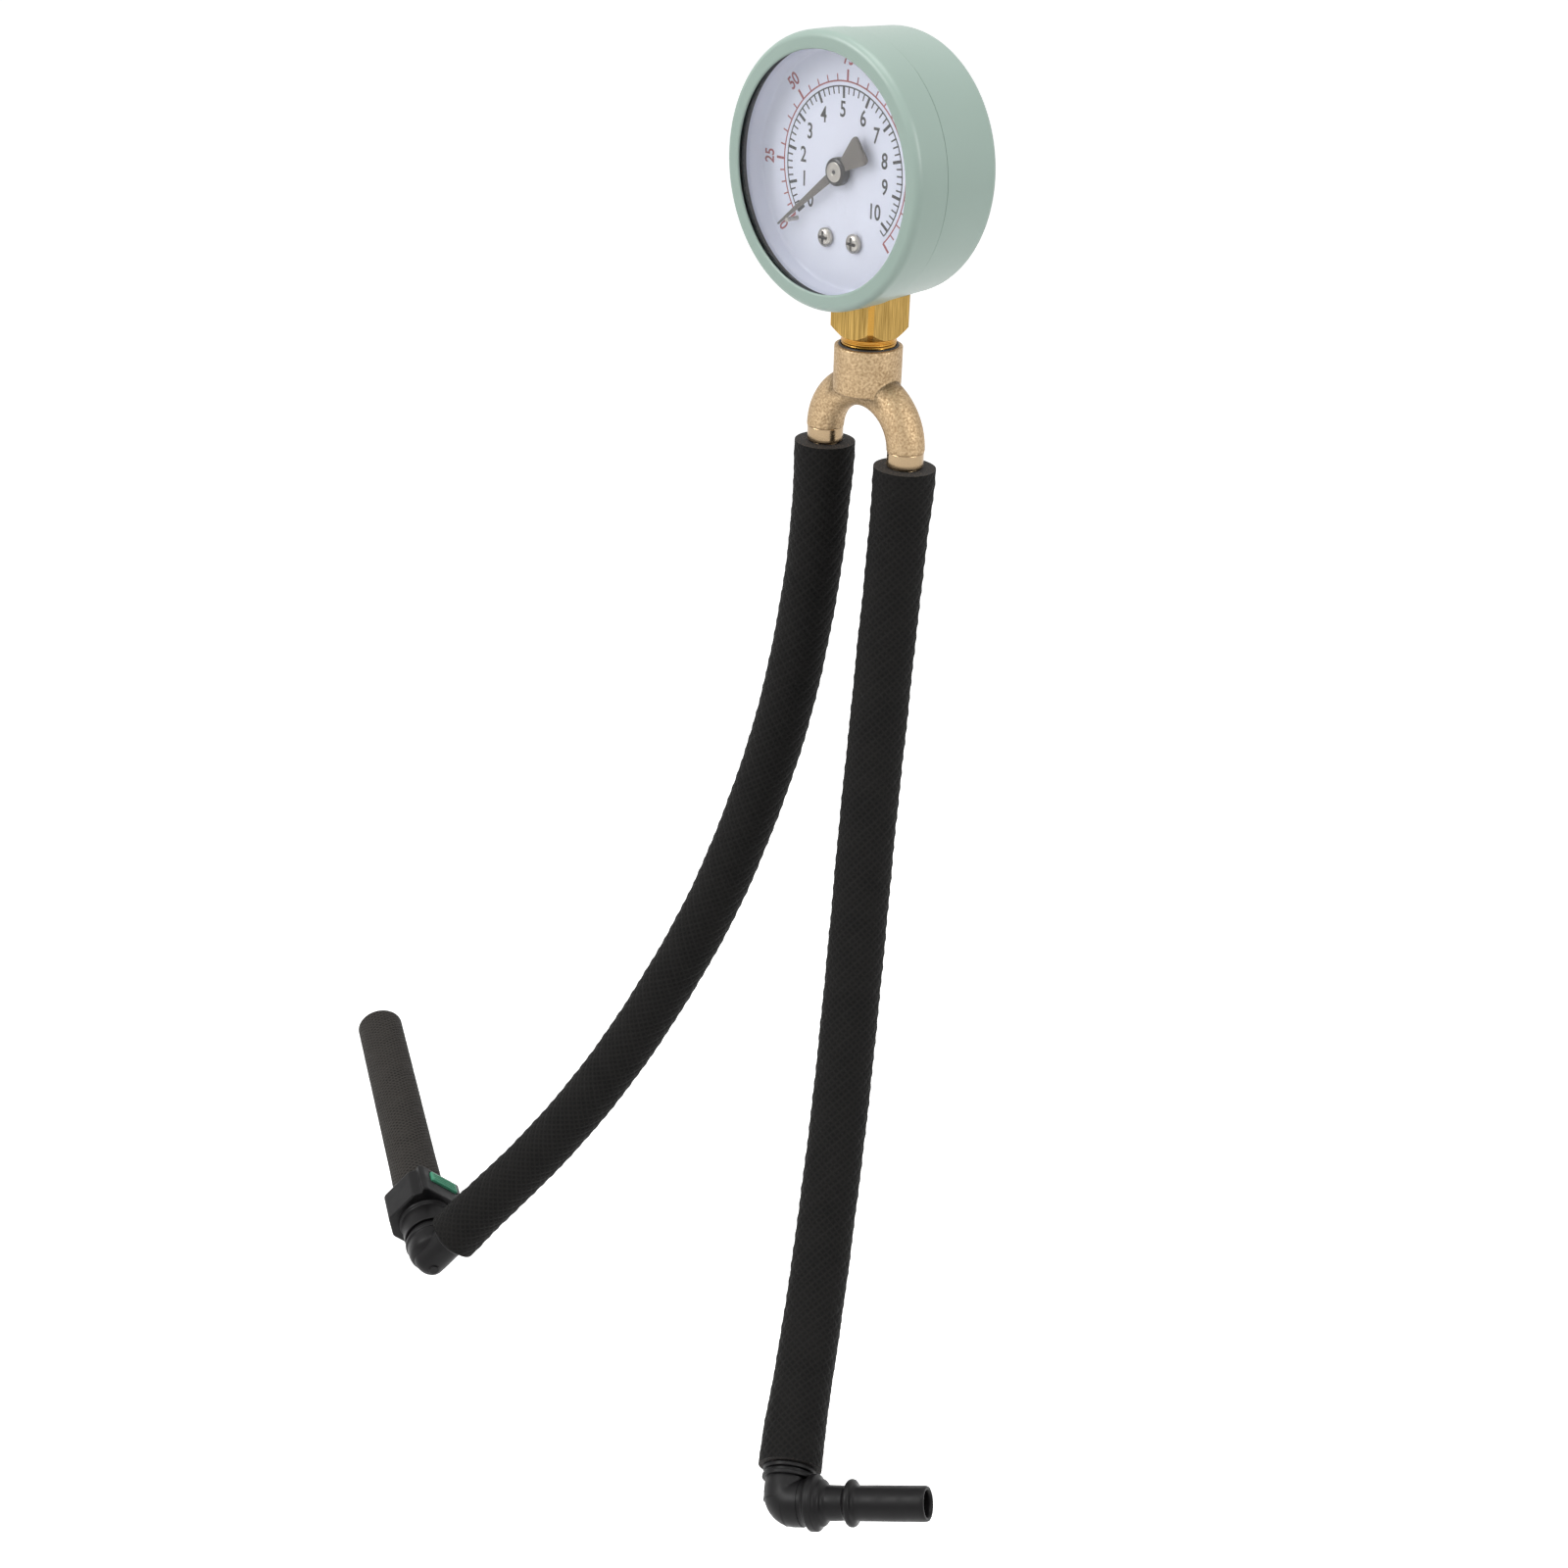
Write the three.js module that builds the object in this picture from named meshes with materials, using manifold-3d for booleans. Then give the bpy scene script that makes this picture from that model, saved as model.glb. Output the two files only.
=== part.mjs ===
// Fuel pressure gauge: a round dial gauge on a square brass stem, a cast brass wye and two rubber hoses.
// One hose ends in a male elbow. The other ends in a female quick connector with a push button and a plug.
// Sizes are in millimetres. The origin is the centre of the case's flat back, the dial faces -Y,
// +X is to the right of someone reading the dial, and the stem and hoses hang towards -Z.
import * as THREE from 'three';
import { mergeVertices } from 'three/addons/utils/BufferGeometryUtils.js';
import Module from 'manifold-3d';

const wasm = await Module();
wasm.setup();

// Clearances and one overrun for every cut
const seat_gap = 0.3;
const shaft_gap = 0.25;
const cut_overrun = 2;

// Case, bezel and window
const case_depth = 26.8;
const cup_depth = 17;
const case_body_radius = 30;
const case_taper = 0.6;
const case_wall = 1;
const case_edge = 1.6;
const bezel_overhang = 0.3;
const bezel_wall = 0.7;
const bezel_edge = 2.2;
const bezel_lip_width = 4.1;
const case_neck_wall = 0.7;
const lens_thickness = 1.8;
const gasket_thickness = 1;
const gasket_width = 2.2;

const case_back_radius = case_body_radius - case_taper;
const bezel_radius = case_body_radius + bezel_overhang;
const bezel_lip_radius = bezel_radius - bezel_lip_width;
const bezel_front = -case_depth;
const seam_y = -cup_depth;
const bezel_back = seam_y - seat_gap;
const lip_back = bezel_front + bezel_wall;
const bezel_skirt_radius = bezel_radius - bezel_wall;
const case_neck_radius = bezel_skirt_radius - seat_gap;
const case_neck_bore = case_neck_radius - case_neck_wall;
const lens_front = lip_back + seat_gap;
const lens_back = lens_front + lens_thickness;
const gasket_front = lens_back + seat_gap;
const gasket_back = gasket_front + gasket_thickness;
const case_neck_front = gasket_back + seat_gap;
const back_wall_inside = -case_wall;

// Dial, its screws and the pointer's stop
const dial_rise = 0.9;
const dial_thickness = 0.8;
const dial_rim_run = 1.9;
const dial_rim_wall = 0.7;
const dial_bore_radius = 1.6;
const dial_screw_spread = 4.5;
const dial_screw_drop = 15.35;
const screw_radius = 1.2;
const screw_head_radius = 2.1;
const screw_head_height = 1.3;
const recess_width = 0.5;
const recess_length = 2.4;
const recess_depth = 0.7;
const stop_pin_radius = 0.5;
const stop_pin_height = 3.6;
const stop_pin_inset = 4.2;

const dial_front = seam_y - dial_rise;
const dial_back = dial_front + dial_thickness;
const dial_rim_radius = case_neck_bore - seat_gap;
const dial_flat_radius = dial_rim_radius - dial_rim_run;

// Pointer, read clockwise from the top of the dial
const rest_degrees = -128;
const pointer_sweep_degrees = 264;
const pointer_tip_inset = 3;
const pointer_thickness = 0.4;
const pointer_height = 2.2;
const pointer_tip_width = 0.35;
const pointer_root_width = 2;
const pointer_neck_width = 2.6;
const pointer_boss_radius = 3.1;
const counterweight_reach = 10;
const counterweight_width = 6.8;
const hub_radius = 1.25;
const hub_cap_radius = 2.25;
const hub_cap_thickness = 0.4;
const hub_standoff = 0.7;

const pointer_length = dial_flat_radius - pointer_tip_inset;
const stop_pin_reach = pointer_length - stop_pin_inset;

// Movement: plates, pillars and arbors between the dial and the case's back
const plate_thickness = 1.4;
const back_plate_thickness = 1.2;
const movement_clearance = 3.4;
const plate_left = 10;
const plate_right = 11.5;
const plate_top = 8;
const plate_corner = 2;
const back_plate_drop = 13.5;
const front_plate_drop = 18.2;
const pillar_radius = 1.5;
const pillar_pivot_radius = 0.9;
const upper_pillar_x = 8.6;
const upper_pillar_z = 4.8;
const lower_pillar_x = -7.6;
const lower_pillar_z = -9.4;
const pillar_screw_radius = 0.8;
const pillar_screw_head_radius = 1.7;
const pillar_screw_head_height = 1;
const pillar_screw_length = 4;

const front_plate_front = dial_back + seat_gap;
const front_plate_back = front_plate_front + plate_thickness;
const back_plate_back = back_wall_inside - movement_clearance;
const back_plate_front = back_plate_back - back_plate_thickness;

// Gear pair: the sector turns the pinion through eight times its own angle
const gear_module = 0.375;
const pinion_teeth = 8;
const gear_ratio = 8;
const pressure_degrees = 20;
const tooth_play = 0.16;
const addendum_share = 0.72;
const dedendum_share = 1.25;
const sector_axis_degrees = -60;
const teeth_past_rest = 1;
const teeth_past_full = 1.5;
const sector_thickness = 1.2;
const sector_offset = 3.8;
const sector_web_width = 3;
const sector_hub_radius = 2.2;
const pinion_width = 2.6;
const arbor_radius = 0.8;
const pivot_radius = 0.55;
const collet_radius = 1.4;
const collet_width = 1.2;
const tail_length = 5;
const tail_width = 2.2;
const tail_pin_radius = 0.55;
const link_angle_degrees = 59;
const link_length = 8.9;
const link_thickness = 0.8;
const link_width = 1.6;
const link_eye_radius = 1.7;
const link_play = 0.4;

const sector_teeth = pinion_teeth * gear_ratio;
const pinion_pitch_radius = gear_module * pinion_teeth / 2;
const sector_pitch_radius = gear_module * sector_teeth / 2;
const centre_distance = pinion_pitch_radius + sector_pitch_radius;
const sector_sweep_degrees = pointer_sweep_degrees / gear_ratio;
const sector_front = front_plate_back + sector_offset;
const sector_back = sector_front + sector_thickness;
const link_front = sector_back + seat_gap;
const link_back = link_front + link_thickness;

// Hairspring and its stud
const hairspring_turns = 4.5;
const hairspring_outer_radius = 5.4;
const hairspring_strip = 0.22;
const hairspring_width = 0.7;
const hairspring_steps_per_turn = 12;
const stud_radius = 0.5;

// Bourdon tube and the piece brazed on its tip
const tube_radius = 20.2;
const tube_height = 8;
const tube_breadth = 2.2;
const tube_wall = 0.4;
const tube_root_degrees = 258;
const tube_tip_degrees = -22;
const tube_steps = 18;
const end_piece_length = 3.5;
const end_piece_breadth = 3.2;
const end_piece_height = 9;
const lug_thickness = 1.2;
const lug_width = 3;

// Stem: a square bar with a threaded spigot, and a block inside the case
const stem_square = 14;
const stem_corner_bevel = 0.7;
const stem_setback = 8.1;
const stem_drop = 8.8;
const stem_turned_radius = 7.1;
const spigot_radius = 6.4;
const spigot_length = 11;
const spigot_chamfer = 0.8;
const port_radius = 1.5;
const block_width = 12.8;
const block_top_z = -17.2;
const lug_top_z = -13;
const lug_depth = 2.7;
const tube_socket_depth = 2.8;
const cross_port_radius = 1.1;
const case_screw_spread = 4.2;
const case_screw_inset = 5.4;
const case_screw_length = 6;
const case_screw_head_radius = 2.5;
const case_screw_sink = 0.1;
const case_screw_cone = 1;
const sealant_width = 0.7;
const sealant_height = 0.9;

const stem_y = -stem_setback;
const stem_bottom_z = -case_body_radius - stem_drop;
const spigot_bottom_z = stem_bottom_z - spigot_length;
const case_screw_z = case_screw_inset - case_back_radius;
const block_back = back_wall_inside - seat_gap;
const block_front = front_plate_back + seat_gap;

// Wye
const socket_radius = 8.1;
const socket_standoff = 2.4;
const socket_wall = 1.2;
const socket_floor = 1.8;
const socket_chamfer = 0.8;
const arm_spread = 13.55;
const arm_rise = 12.7;
const arm_radius = 4.6;
const arm_passage_radius = 2.1;
const arm_drop = 23.6;
const stub_radius = 4.45;
const stub_length = 2.9;
const barb_radius = 3.4;
const barb_root_radius = 3;
const barb_pitch = 4.5;
const barb_count = 2;
const arm_steps = 12;

const socket_mouth_z = stem_bottom_z - socket_standoff;
const arm_end_z = socket_mouth_z - arm_drop;
const socket_bore = socket_radius - socket_wall;
const socket_floor_z = spigot_bottom_z - seat_gap;
const socket_bottom_z = socket_floor_z - socket_floor;

// Hoses
const hose_diameter = 14.4;
const hose_bore = 8.2;
const hose_sides = 12;
const bore_sides = 10;
const hose_steps = 24;
const tail_hose_length = 82;
const hose_left_route = [
  [-13.55, -8.1, -68], [-13.6, -8.2, -75], [-13.7, -8.7, -84], [-14.1, -10, -100], [-15, -12, -116],
  [-16, -14.8, -132], [-17.2, -18.5, -147.5], [-19, -23, -163], [-21, -28.2, -178], [-23.3, -34.2, -193],
  [-26.2, -41, -207.5], [-29.5, -48.5, -221.5], [-33, -56.5, -235], [-37, -65, -248],
  [-41.6, -74.1, -260.5], [-46.8, -83.8, -272.5], [-51.4, -92.1, -281.8], [-54.7, -98, -288.3],
  [-56.3, -100.9, -291.7], [-58, -104, -295.2],
];
const hose_right_route = [
  [13.55, -8.1, -68], [13.5, -8.3, -75], [13.7, -9.3, -84], [14.8, -11.7, -99], [16.5, -14.9, -114],
  [19, -18.8, -129], [21.9, -23.3, -144], [25.3, -28.2, -158.5], [29, -33.2, -173],
  [33, -38.6, -187.3], [37.2, -44.3, -201.2], [41.7, -50.4, -214.5], [46.6, -57.2, -227],
  [52, -64.8, -239], [58.1, -73.2, -250], [64.9, -82.7, -260], [70.2, -90.1, -266.2],
  [76, -98.1, -271.7], [78.6, -101.4, -273.8], [81.5, -105, -276],
];

// Male elbow: a moulded elbow whose spigot carries a bead
const spigot_heading = [0.826, 0.477, 0.299];
const elbow_leg_length = 8.1;
const elbow_leg_radius = 5.3;
const elbow_heel_radius = 5.7;
const elbow_ring_radius = 6.3;
const elbow_ring_width = 1;
const elbow_ring_groove = 0.8;
const elbow_passage_radius = 2.2;
const collar_radius = 6.4;
const collar_start = 6.2;
const collar_width = 2.4;
const collar_cone = 2;
const spigot_tube_diameter = 7.89;
const spigot_tube_length = 35.2;
const spigot_bore_radius = 2.85;
const bead_radius = 5.3;
const bead_width = 1.4;
const bead_from_nose = 19.3;
const nose_chamfer = 0.7;

const spigot_tube_radius = spigot_tube_diameter / 2;

// Female connector: an elbow welded into a housing that holds the seals and the push button
const connector_heading = [-0.897, 0.439, 0.062];
const connector_leg_length = 8;
const connector_leg_radius = 3.7;
const connector_neck_radius = 6.9;
const connector_cap_depth = 3.7;
const connector_cap_face_radius = 4;
const connector_foot_radius = 5.4;
const connector_foot_width = 1;
const weld_flange_start = 4.6;
const weld_flange_width = 1.2;
const weld_flange_radius = 7.4;
const weld_groove_radius = 6.5;
const weld_groove_width = 1.4;
const weld_spigot_radius = 6.2;
const weld_spigot_length = 1;
const gate_radius = 1.35;
const gate_height = 0.5;
const barrel_radius = 7.3;
const barrel_wall = 0.8;
const head_start = 18.6;
const head_length = 6.6;
const head_width = 19;
const head_top = 9.2;
const head_bottom = 9.8;
const head_low_corner = 3.6;
const head_low_slope = 5.6;
const head_high_corner = 2.2;
const head_bore_radius = 5.75;
const seal_bore_length = 10;
const seal_wire = 2;
const seal_spacer_width = 1.2;
const bush_width = 2.6;
const seal_clearance = 0.35;

// Push button: a yoke that straddles the plug, with its pad in the head's side
const button_width = 10;
const button_length = 3.6;
const button_rise = 0.8;
const button_travel = 1.5;
const yoke_bridge = 1.6;
const yoke_leg = 1.3;
const yoke_inside = 5.9;
const yoke_leg_length = 10.8;
const yoke_start = 20;
const head_cheek = 1.2;

// Plug that closes the connector, with its tail hose
const plug_nose = 4.8;
const plug_bead_start = 18.2;
const plug_flange_radius = 6.4;
const plug_flange_width = 1.2;

// Round pieces are drawn with these many sides
const large_sides = 40;
const medium_sides = 20;
const small_sides = 12;
const corner_steps = 3;

const radians = THREE.MathUtils.degToRad;

// Plain finishes
const finishes = {
  green_enamel: { color: '#a7c1b3', roughness: 0.35, metalness: 0 },
  dial_white: { color: '#d3d8e8', roughness: 0.6, metalness: 0 },
  clear_glass: { color: '#eef4f4', roughness: 0.05, metalness: 0, transparent: true, opacity: 0.25 },
  black_rubber: { color: '#1e1d1d', roughness: 0.85, metalness: 0 },
  black_plastic: { color: '#232326', roughness: 0.5, metalness: 0 },
  green_plastic: { color: '#3f7f63', roughness: 0.4, metalness: 0 },
  white_plastic: { color: '#d8d6cf', roughness: 0.5, metalness: 0 },
  pointer_grey: { color: '#5b5a58', roughness: 0.5, metalness: 0 },
  bright_steel: { color: '#c9c6c0', roughness: 0.3, metalness: 1 },
  machined_brass: { color: '#c79a4a', roughness: 0.3, metalness: 1 },
  cast_brass: { color: '#c2a074', roughness: 0.5, metalness: 1 },
  tube_bronze: { color: '#b07d4c', roughness: 0.35, metalness: 1 },
};
const materials = Object.fromEntries(
  Object.entries(finishes).map(([name, values]) => [name, new THREE.MeshStandardMaterial(values)]),
);

// Turns a closed geometry into a solid whose faces point out
function to_solid(geometry) {
  geometry.deleteAttribute('normal');
  geometry.deleteAttribute('uv');
  const merged = mergeVertices(geometry, 1e-5);
  const points = merged.attributes.position.array;
  const corner = (index) => new THREE.Vector3().fromArray(points, 3 * index);
  const triangles = [];
  let volume = 0;
  for (let start = 0; start < merged.index.count; start += 3) {
    const [a, b, c] = [0, 1, 2].map((step) => merged.index.getX(start + step));
    if (a === b || b === c || a === c) continue;
    triangles.push([a, b, c]);
    volume += corner(a).dot(corner(b).cross(corner(c)));
  }
  const ordered = volume > 0 ? triangles : triangles.map(([a, b, c]) => [a, c, b]);
  const mesh = new wasm.Mesh({
    numProp: 3,
    vertProperties: new Float32Array(points),
    triVerts: new Uint32Array(ordered.flat()),
  });
  return new wasm.Manifold(mesh);
}

// Turns a solid back into a geometry
function to_geometry(solid) {
  const mesh = solid.getMesh();
  const geometry = new THREE.BufferGeometry();
  const points = new THREE.BufferAttribute(new Float32Array(mesh.vertProperties), mesh.numProp);
  geometry.setAttribute('position', points);
  geometry.setIndex(new THREE.BufferAttribute(new Uint32Array(mesh.triVerts), 1));
  geometry.computeVertexNormals();
  return geometry;
}

const fuse = (...solids) => solids.reduce((whole, next) => whole.add(next));
const cut = (solid, ...tools) => tools.reduce((whole, tool) => whole.subtract(tool), solid);

// A solid turned about Y from radius and height pairs
function turned(profile, sides = medium_sides) {
  const points = profile.map(([radius, height]) => new THREE.Vector2(radius, height));
  return to_solid(new THREE.LatheGeometry(points, sides));
}

// A ring turned about Y from a loop of radius and height pairs
const turned_ring = (loop, sides) => turned([...loop, loop[0]], sides);

// A plain round bar or washer along Y between two heights
function bar(radius, low, high, sides = small_sides) {
  return turned([[0, low], [radius, low], [radius, high], [0, high]], sides);
}

function washer(inner, outer, low, high, sides = medium_sides) {
  return turned_ring([[inner, low], [outer, low], [outer, high], [inner, high]], sides);
}

// Moves, and turns a solid that stands along Y so that it stands along Z or X
function moved(solid, x, y, z) {
  return solid.translate([x, y, z]);
}

const along_z = (solid) => solid.rotate([90, 0, 0]);
const along_x = (solid) => solid.rotate([0, 0, -90]);

// A box between two corners
function box(low, high) {
  const size = high.map((value, axis) => value - low[axis]);
  const geometry = new THREE.BoxGeometry(...size);
  geometry.translate(...low.map((value, axis) => value + size[axis] / 2));
  return to_solid(geometry);
}

// A flat plate seen from the front: the shape's axes are X and Z, and it lies between two depths
function plate(shape, front, back) {
  const geometry = new THREE.ExtrudeGeometry(shape, {
    depth: back - front,
    bevelEnabled: false,
    curveSegments: corner_steps,
  });
  geometry.rotateX(Math.PI / 2);
  geometry.translate(0, back, 0);
  return to_solid(geometry);
}

const polar = (radius, angle) => [radius * Math.cos(angle), radius * Math.sin(angle)];

function polygon(points) {
  return new THREE.Shape(points.map(([x, z]) => new THREE.Vector2(x, z)));
}

function rounded_rectangle(left, right, bottom, top, corner) {
  const shape = new THREE.Shape();
  shape.absarc(right - corner, top - corner, corner, 0, Math.PI / 2);
  shape.absarc(left + corner, top - corner, corner, Math.PI / 2, Math.PI);
  shape.absarc(left + corner, bottom + corner, corner, Math.PI, Math.PI * 1.5);
  shape.absarc(right - corner, bottom + corner, corner, Math.PI * 1.5, Math.PI * 2);
  shape.closePath();
  return shape;
}

// A strip with round ends between two points
function strip(from, to, radius) {
  const heading = Math.atan2(to[1] - from[1], to[0] - from[0]);
  const shape = new THREE.Shape();
  shape.absarc(to[0], to[1], radius, heading - Math.PI / 2, heading + Math.PI / 2);
  shape.absarc(from[0], from[1], radius, heading + Math.PI / 2, heading + Math.PI * 1.5);
  shape.closePath();
  return shape;
}

// Outline points of involute teeth about their own centre: numbers of teeth from first to last
function tooth_points(teeth, first, last, phase) {
  const pitch_radius = gear_module * teeth / 2;
  const pressure = radians(pressure_degrees);
  const base_radius = pitch_radius * Math.cos(pressure);
  const root = pitch_radius - gear_module * dedendum_share;
  const tip = pitch_radius + gear_module * addendum_share;
  const involute = (angle) => Math.tan(angle) - angle;
  const pitch_half_angle = Math.PI / (2 * teeth) - tooth_play / (2 * pitch_radius);
  const flank = (radius) => involute(Math.acos(Math.min(1, base_radius / radius)));
  const half_angle = (radius) => pitch_half_angle + involute(pressure) - flank(radius);
  const radii = [root, Math.max(root, base_radius), pitch_radius, tip];
  const points = [];
  for (let tooth = first; tooth <= last; tooth += 1) {
    const middle = phase + tooth * 2 * Math.PI / teeth;
    radii.forEach((radius) => points.push(polar(radius, middle - half_angle(radius))));
    [...radii].reverse().forEach((radius) => points.push(polar(radius, middle + half_angle(radius))));
  }
  return points;
}

// A cross recess cut into a head that faces along Y
function cross_recess(front, depth) {
  const half = recess_length / 2;
  const slot = recess_width / 2;
  return fuse(
    box([-half, front, -slot], [half, front + depth, slot]),
    box([-slot, front, -half], [slot, front + depth, half]),
  );
}

// The frame of a fitting at a hose's end: its X axis looks back into the hose, its Z axis along the heading
function fitting_frame(route, heading, leg) {
  const end = new THREE.Vector3(...route.at(-1));
  const inward = new THREE.Vector3(...route.at(-2)).sub(end).normalize();
  const along = new THREE.Vector3(...heading);
  along.addScaledVector(inward, -along.dot(inward)).normalize();
  const across = new THREE.Vector3().crossVectors(along, inward);
  const frame = new THREE.Group();
  frame.quaternion.setFromRotationMatrix(new THREE.Matrix4().makeBasis(inward, across, along));
  frame.position.copy(end).addScaledVector(inward, -leg);
  return frame;
}

// A barbed nipple that stands along Y from a shoulder's face
function nipple(shoulder) {
  const profile = [[0, shoulder - cut_overrun], [barb_root_radius, shoulder - cut_overrun]];
  for (let barb = 0; barb < barb_count; barb += 1) {
    const low = shoulder + seat_gap + barb * barb_pitch;
    profile.push([barb_root_radius, low], [barb_radius, low], [barb_root_radius, low + barb_pitch]);
  }
  return turned([...profile, [0, shoulder + nipple_length]], small_sides);
}

const nipple_length = barb_count * barb_pitch + seat_gap;

const gauge = new THREE.Group();
gauge.name = 'fuel_pressure_gauge';

function add(name, solid, finish, parent = gauge) {
  const mesh = new THREE.Mesh(to_geometry(solid), materials[finish]);
  mesh.name = name;
  parent.add(mesh);
  return mesh;
}

// Case shell, bezel, window and gasket
function case_envelope(gap) {
  return turned([
    [0, cut_overrun], [case_back_radius + gap, cut_overrun], [case_back_radius + gap, -case_edge],
    [case_body_radius + gap, seam_y], [bezel_radius + gap, seam_y], [bezel_radius + gap, bezel_front],
    [0, bezel_front],
  ], large_sides);
}

function make_case() {
  const edge_turns = [0, 1, 2, 3].map((step) => step * Math.PI / 6);
  const outer_edge = edge_turns.map((turn) => [
    case_back_radius - case_edge + case_edge * Math.sin(turn),
    -case_edge + case_edge * Math.cos(turn),
  ]);
  const inside_back_radius = case_back_radius - case_wall;
  const shell = turned([
    [0, 0], ...outer_edge, [case_body_radius, seam_y], [case_neck_radius, seam_y],
    [case_neck_radius, case_neck_front], [case_neck_bore, case_neck_front], [case_neck_bore, seam_y],
    [inside_back_radius, -case_edge], [inside_back_radius - case_edge, back_wall_inside],
    [0, back_wall_inside],
  ], large_sides);
  const half_hole = block_width / 2 + seat_gap;
  const stem_hole = box(
    [-half_hole, block_front - seat_gap, -case_body_radius - cut_overrun],
    [half_hole, back_wall_inside, -case_body_radius + case_edge + cut_overrun + cut_overrun],
  );
  const countersink = turned([
    [0, cut_overrun], [case_screw_head_radius + seat_gap, cut_overrun],
    [case_screw_head_radius + seat_gap, 0], [screw_radius + seat_gap, -case_wall],
    [screw_radius + seat_gap, -case_wall - cut_overrun], [0, -case_wall - cut_overrun],
  ], small_sides);
  add('case_shell', cut(
    shell, stem_hole,
    moved(countersink, -case_screw_spread, 0, case_screw_z),
    moved(countersink, case_screw_spread, 0, case_screw_z),
  ), 'green_enamel');
}

function make_bezel() {
  const front_turns = [0, 1, 2, 3].map((step) => step * Math.PI / 6);
  const front_edge = front_turns.map((turn) => [
    bezel_radius - bezel_edge + bezel_edge * Math.sin(turn),
    bezel_front + bezel_edge - bezel_edge * Math.cos(turn),
  ]);
  const lip_round = bezel_wall / 2;
  const inner_corner = bezel_edge - bezel_wall;
  add('bezel_ring', turned_ring([
    [bezel_lip_radius, lip_back], [bezel_lip_radius, bezel_front + lip_round],
    [bezel_lip_radius + lip_round, bezel_front], ...front_edge, [bezel_radius, bezel_back],
    [bezel_skirt_radius, bezel_back], [bezel_skirt_radius, lip_back + inner_corner],
    [bezel_skirt_radius - inner_corner, lip_back],
  ], large_sides), 'green_enamel');
  const lens_radius = bezel_skirt_radius - bezel_edge + bezel_wall;
  add('window_lens', bar(lens_radius, lens_front, lens_back, large_sides), 'clear_glass');
  add('lens_gasket', washer(
    case_neck_radius - gasket_width, case_neck_radius, gasket_front, gasket_back, large_sides,
  ), 'black_rubber');
}

// Dial with its turned-up rim, two screws and the stop pin
function screw_places() {
  return [-dial_screw_spread, dial_screw_spread].map((x) => [x, -dial_screw_drop]);
}

const stop_angle = () => {
  const clearance = stop_pin_radius + pointer_tip_width + seat_gap;
  return radians(90 - rest_degrees) + Math.asin(clearance / stop_pin_reach);
};

function make_dial() {
  const rim_front = case_neck_front;
  let dial = turned([
    [0, dial_front], [dial_flat_radius, dial_front], [dial_rim_radius - dial_rim_wall, rim_front],
    [dial_rim_radius, rim_front], [dial_flat_radius + dial_rim_wall, dial_back], [0, dial_back],
  ], large_sides);
  const hole = (radius) => bar(radius, dial_front - cut_overrun, dial_back + cut_overrun);
  dial = cut(dial, hole(dial_bore_radius));
  for (const [x, z] of screw_places()) {
    dial = cut(dial, moved(hole(screw_radius + seat_gap), x, 0, z));
  }
  const [pin_x, pin_z] = polar(stop_pin_reach, stop_angle());
  dial = cut(dial, moved(hole(stop_pin_radius + shaft_gap), pin_x, 0, pin_z));
  add('dial_plate', dial, 'dial_white');

  const head_back = dial_front - seat_gap;
  const head_front = head_back - screw_head_height;
  const screw_end = block_front + lug_depth - seat_gap;
  const screw = cut(
    turned([
      [0, head_front], [screw_head_radius / 2, head_front],
      [screw_head_radius, head_front + screw_head_height / 2], [screw_head_radius, head_back],
      [screw_radius, head_back], [screw_radius, screw_end], [0, screw_end],
    ], small_sides),
    cross_recess(head_front - cut_overrun, recess_depth + cut_overrun),
  );
  screw_places().forEach(([x, z], side) => {
    add(side === 0 ? 'dial_screw_left' : 'dial_screw_right', moved(screw, x, 0, z), 'bright_steel');
  });
  const pin = bar(stop_pin_radius, dial_front - stop_pin_height, dial_back);
  add('pointer_stop_pin', moved(pin, pin_x, 0, pin_z), 'bright_steel');
}

// Pointer blade with its counterweight, and the hub that presses it on the arbor
function make_pointer() {
  const blade_back = dial_front - pointer_height;
  const blade_front = blade_back - pointer_thickness;
  const heading = rest_degrees;
  const tail_end = -counterweight_reach;
  const neck_end = -pointer_boss_radius;
  const half_tip = pointer_tip_width / 2;
  const half_root = pointer_root_width / 2;
  const half_neck = pointer_neck_width / 2;
  const half_weight = counterweight_width / 2;
  const corner = half_neck / 2;
  const outline = polygon([
    [half_tip, pointer_length], [-half_tip, pointer_length], [-half_root, pointer_boss_radius],
    [-half_neck, neck_end], [-half_weight, tail_end + corner], [-half_weight + corner, tail_end],
    [half_weight - corner, tail_end], [half_weight, tail_end + corner], [half_neck, neck_end],
    [half_root, pointer_boss_radius],
  ]);
  const blade = cut(
    fuse(
      plate(outline, blade_front, blade_back),
      bar(pointer_boss_radius, blade_front, blade_back, medium_sides),
    ),
    bar(hub_radius + shaft_gap, blade_front - cut_overrun, blade_back + cut_overrun),
  );
  add('pointer_blade', blade.rotate([0, heading, 0]), 'pointer_grey');

  const cap_back = blade_front - seat_gap;
  const cap_front = cap_back - hub_cap_thickness;
  const hub_back = dial_front - hub_standoff;
  const hub = turned([
    [0, cap_front], [hub_cap_radius, cap_front], [hub_cap_radius, cap_back], [hub_radius, cap_back],
    [hub_radius, hub_back], [0, hub_back],
  ], medium_sides);
  const socket_front = cap_back + seat_gap;
  add('pointer_hub', cut(
    hub, bar(pivot_radius + shaft_gap, socket_front, hub_back + cut_overrun),
  ), 'bright_steel');
  return socket_front;
}

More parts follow.
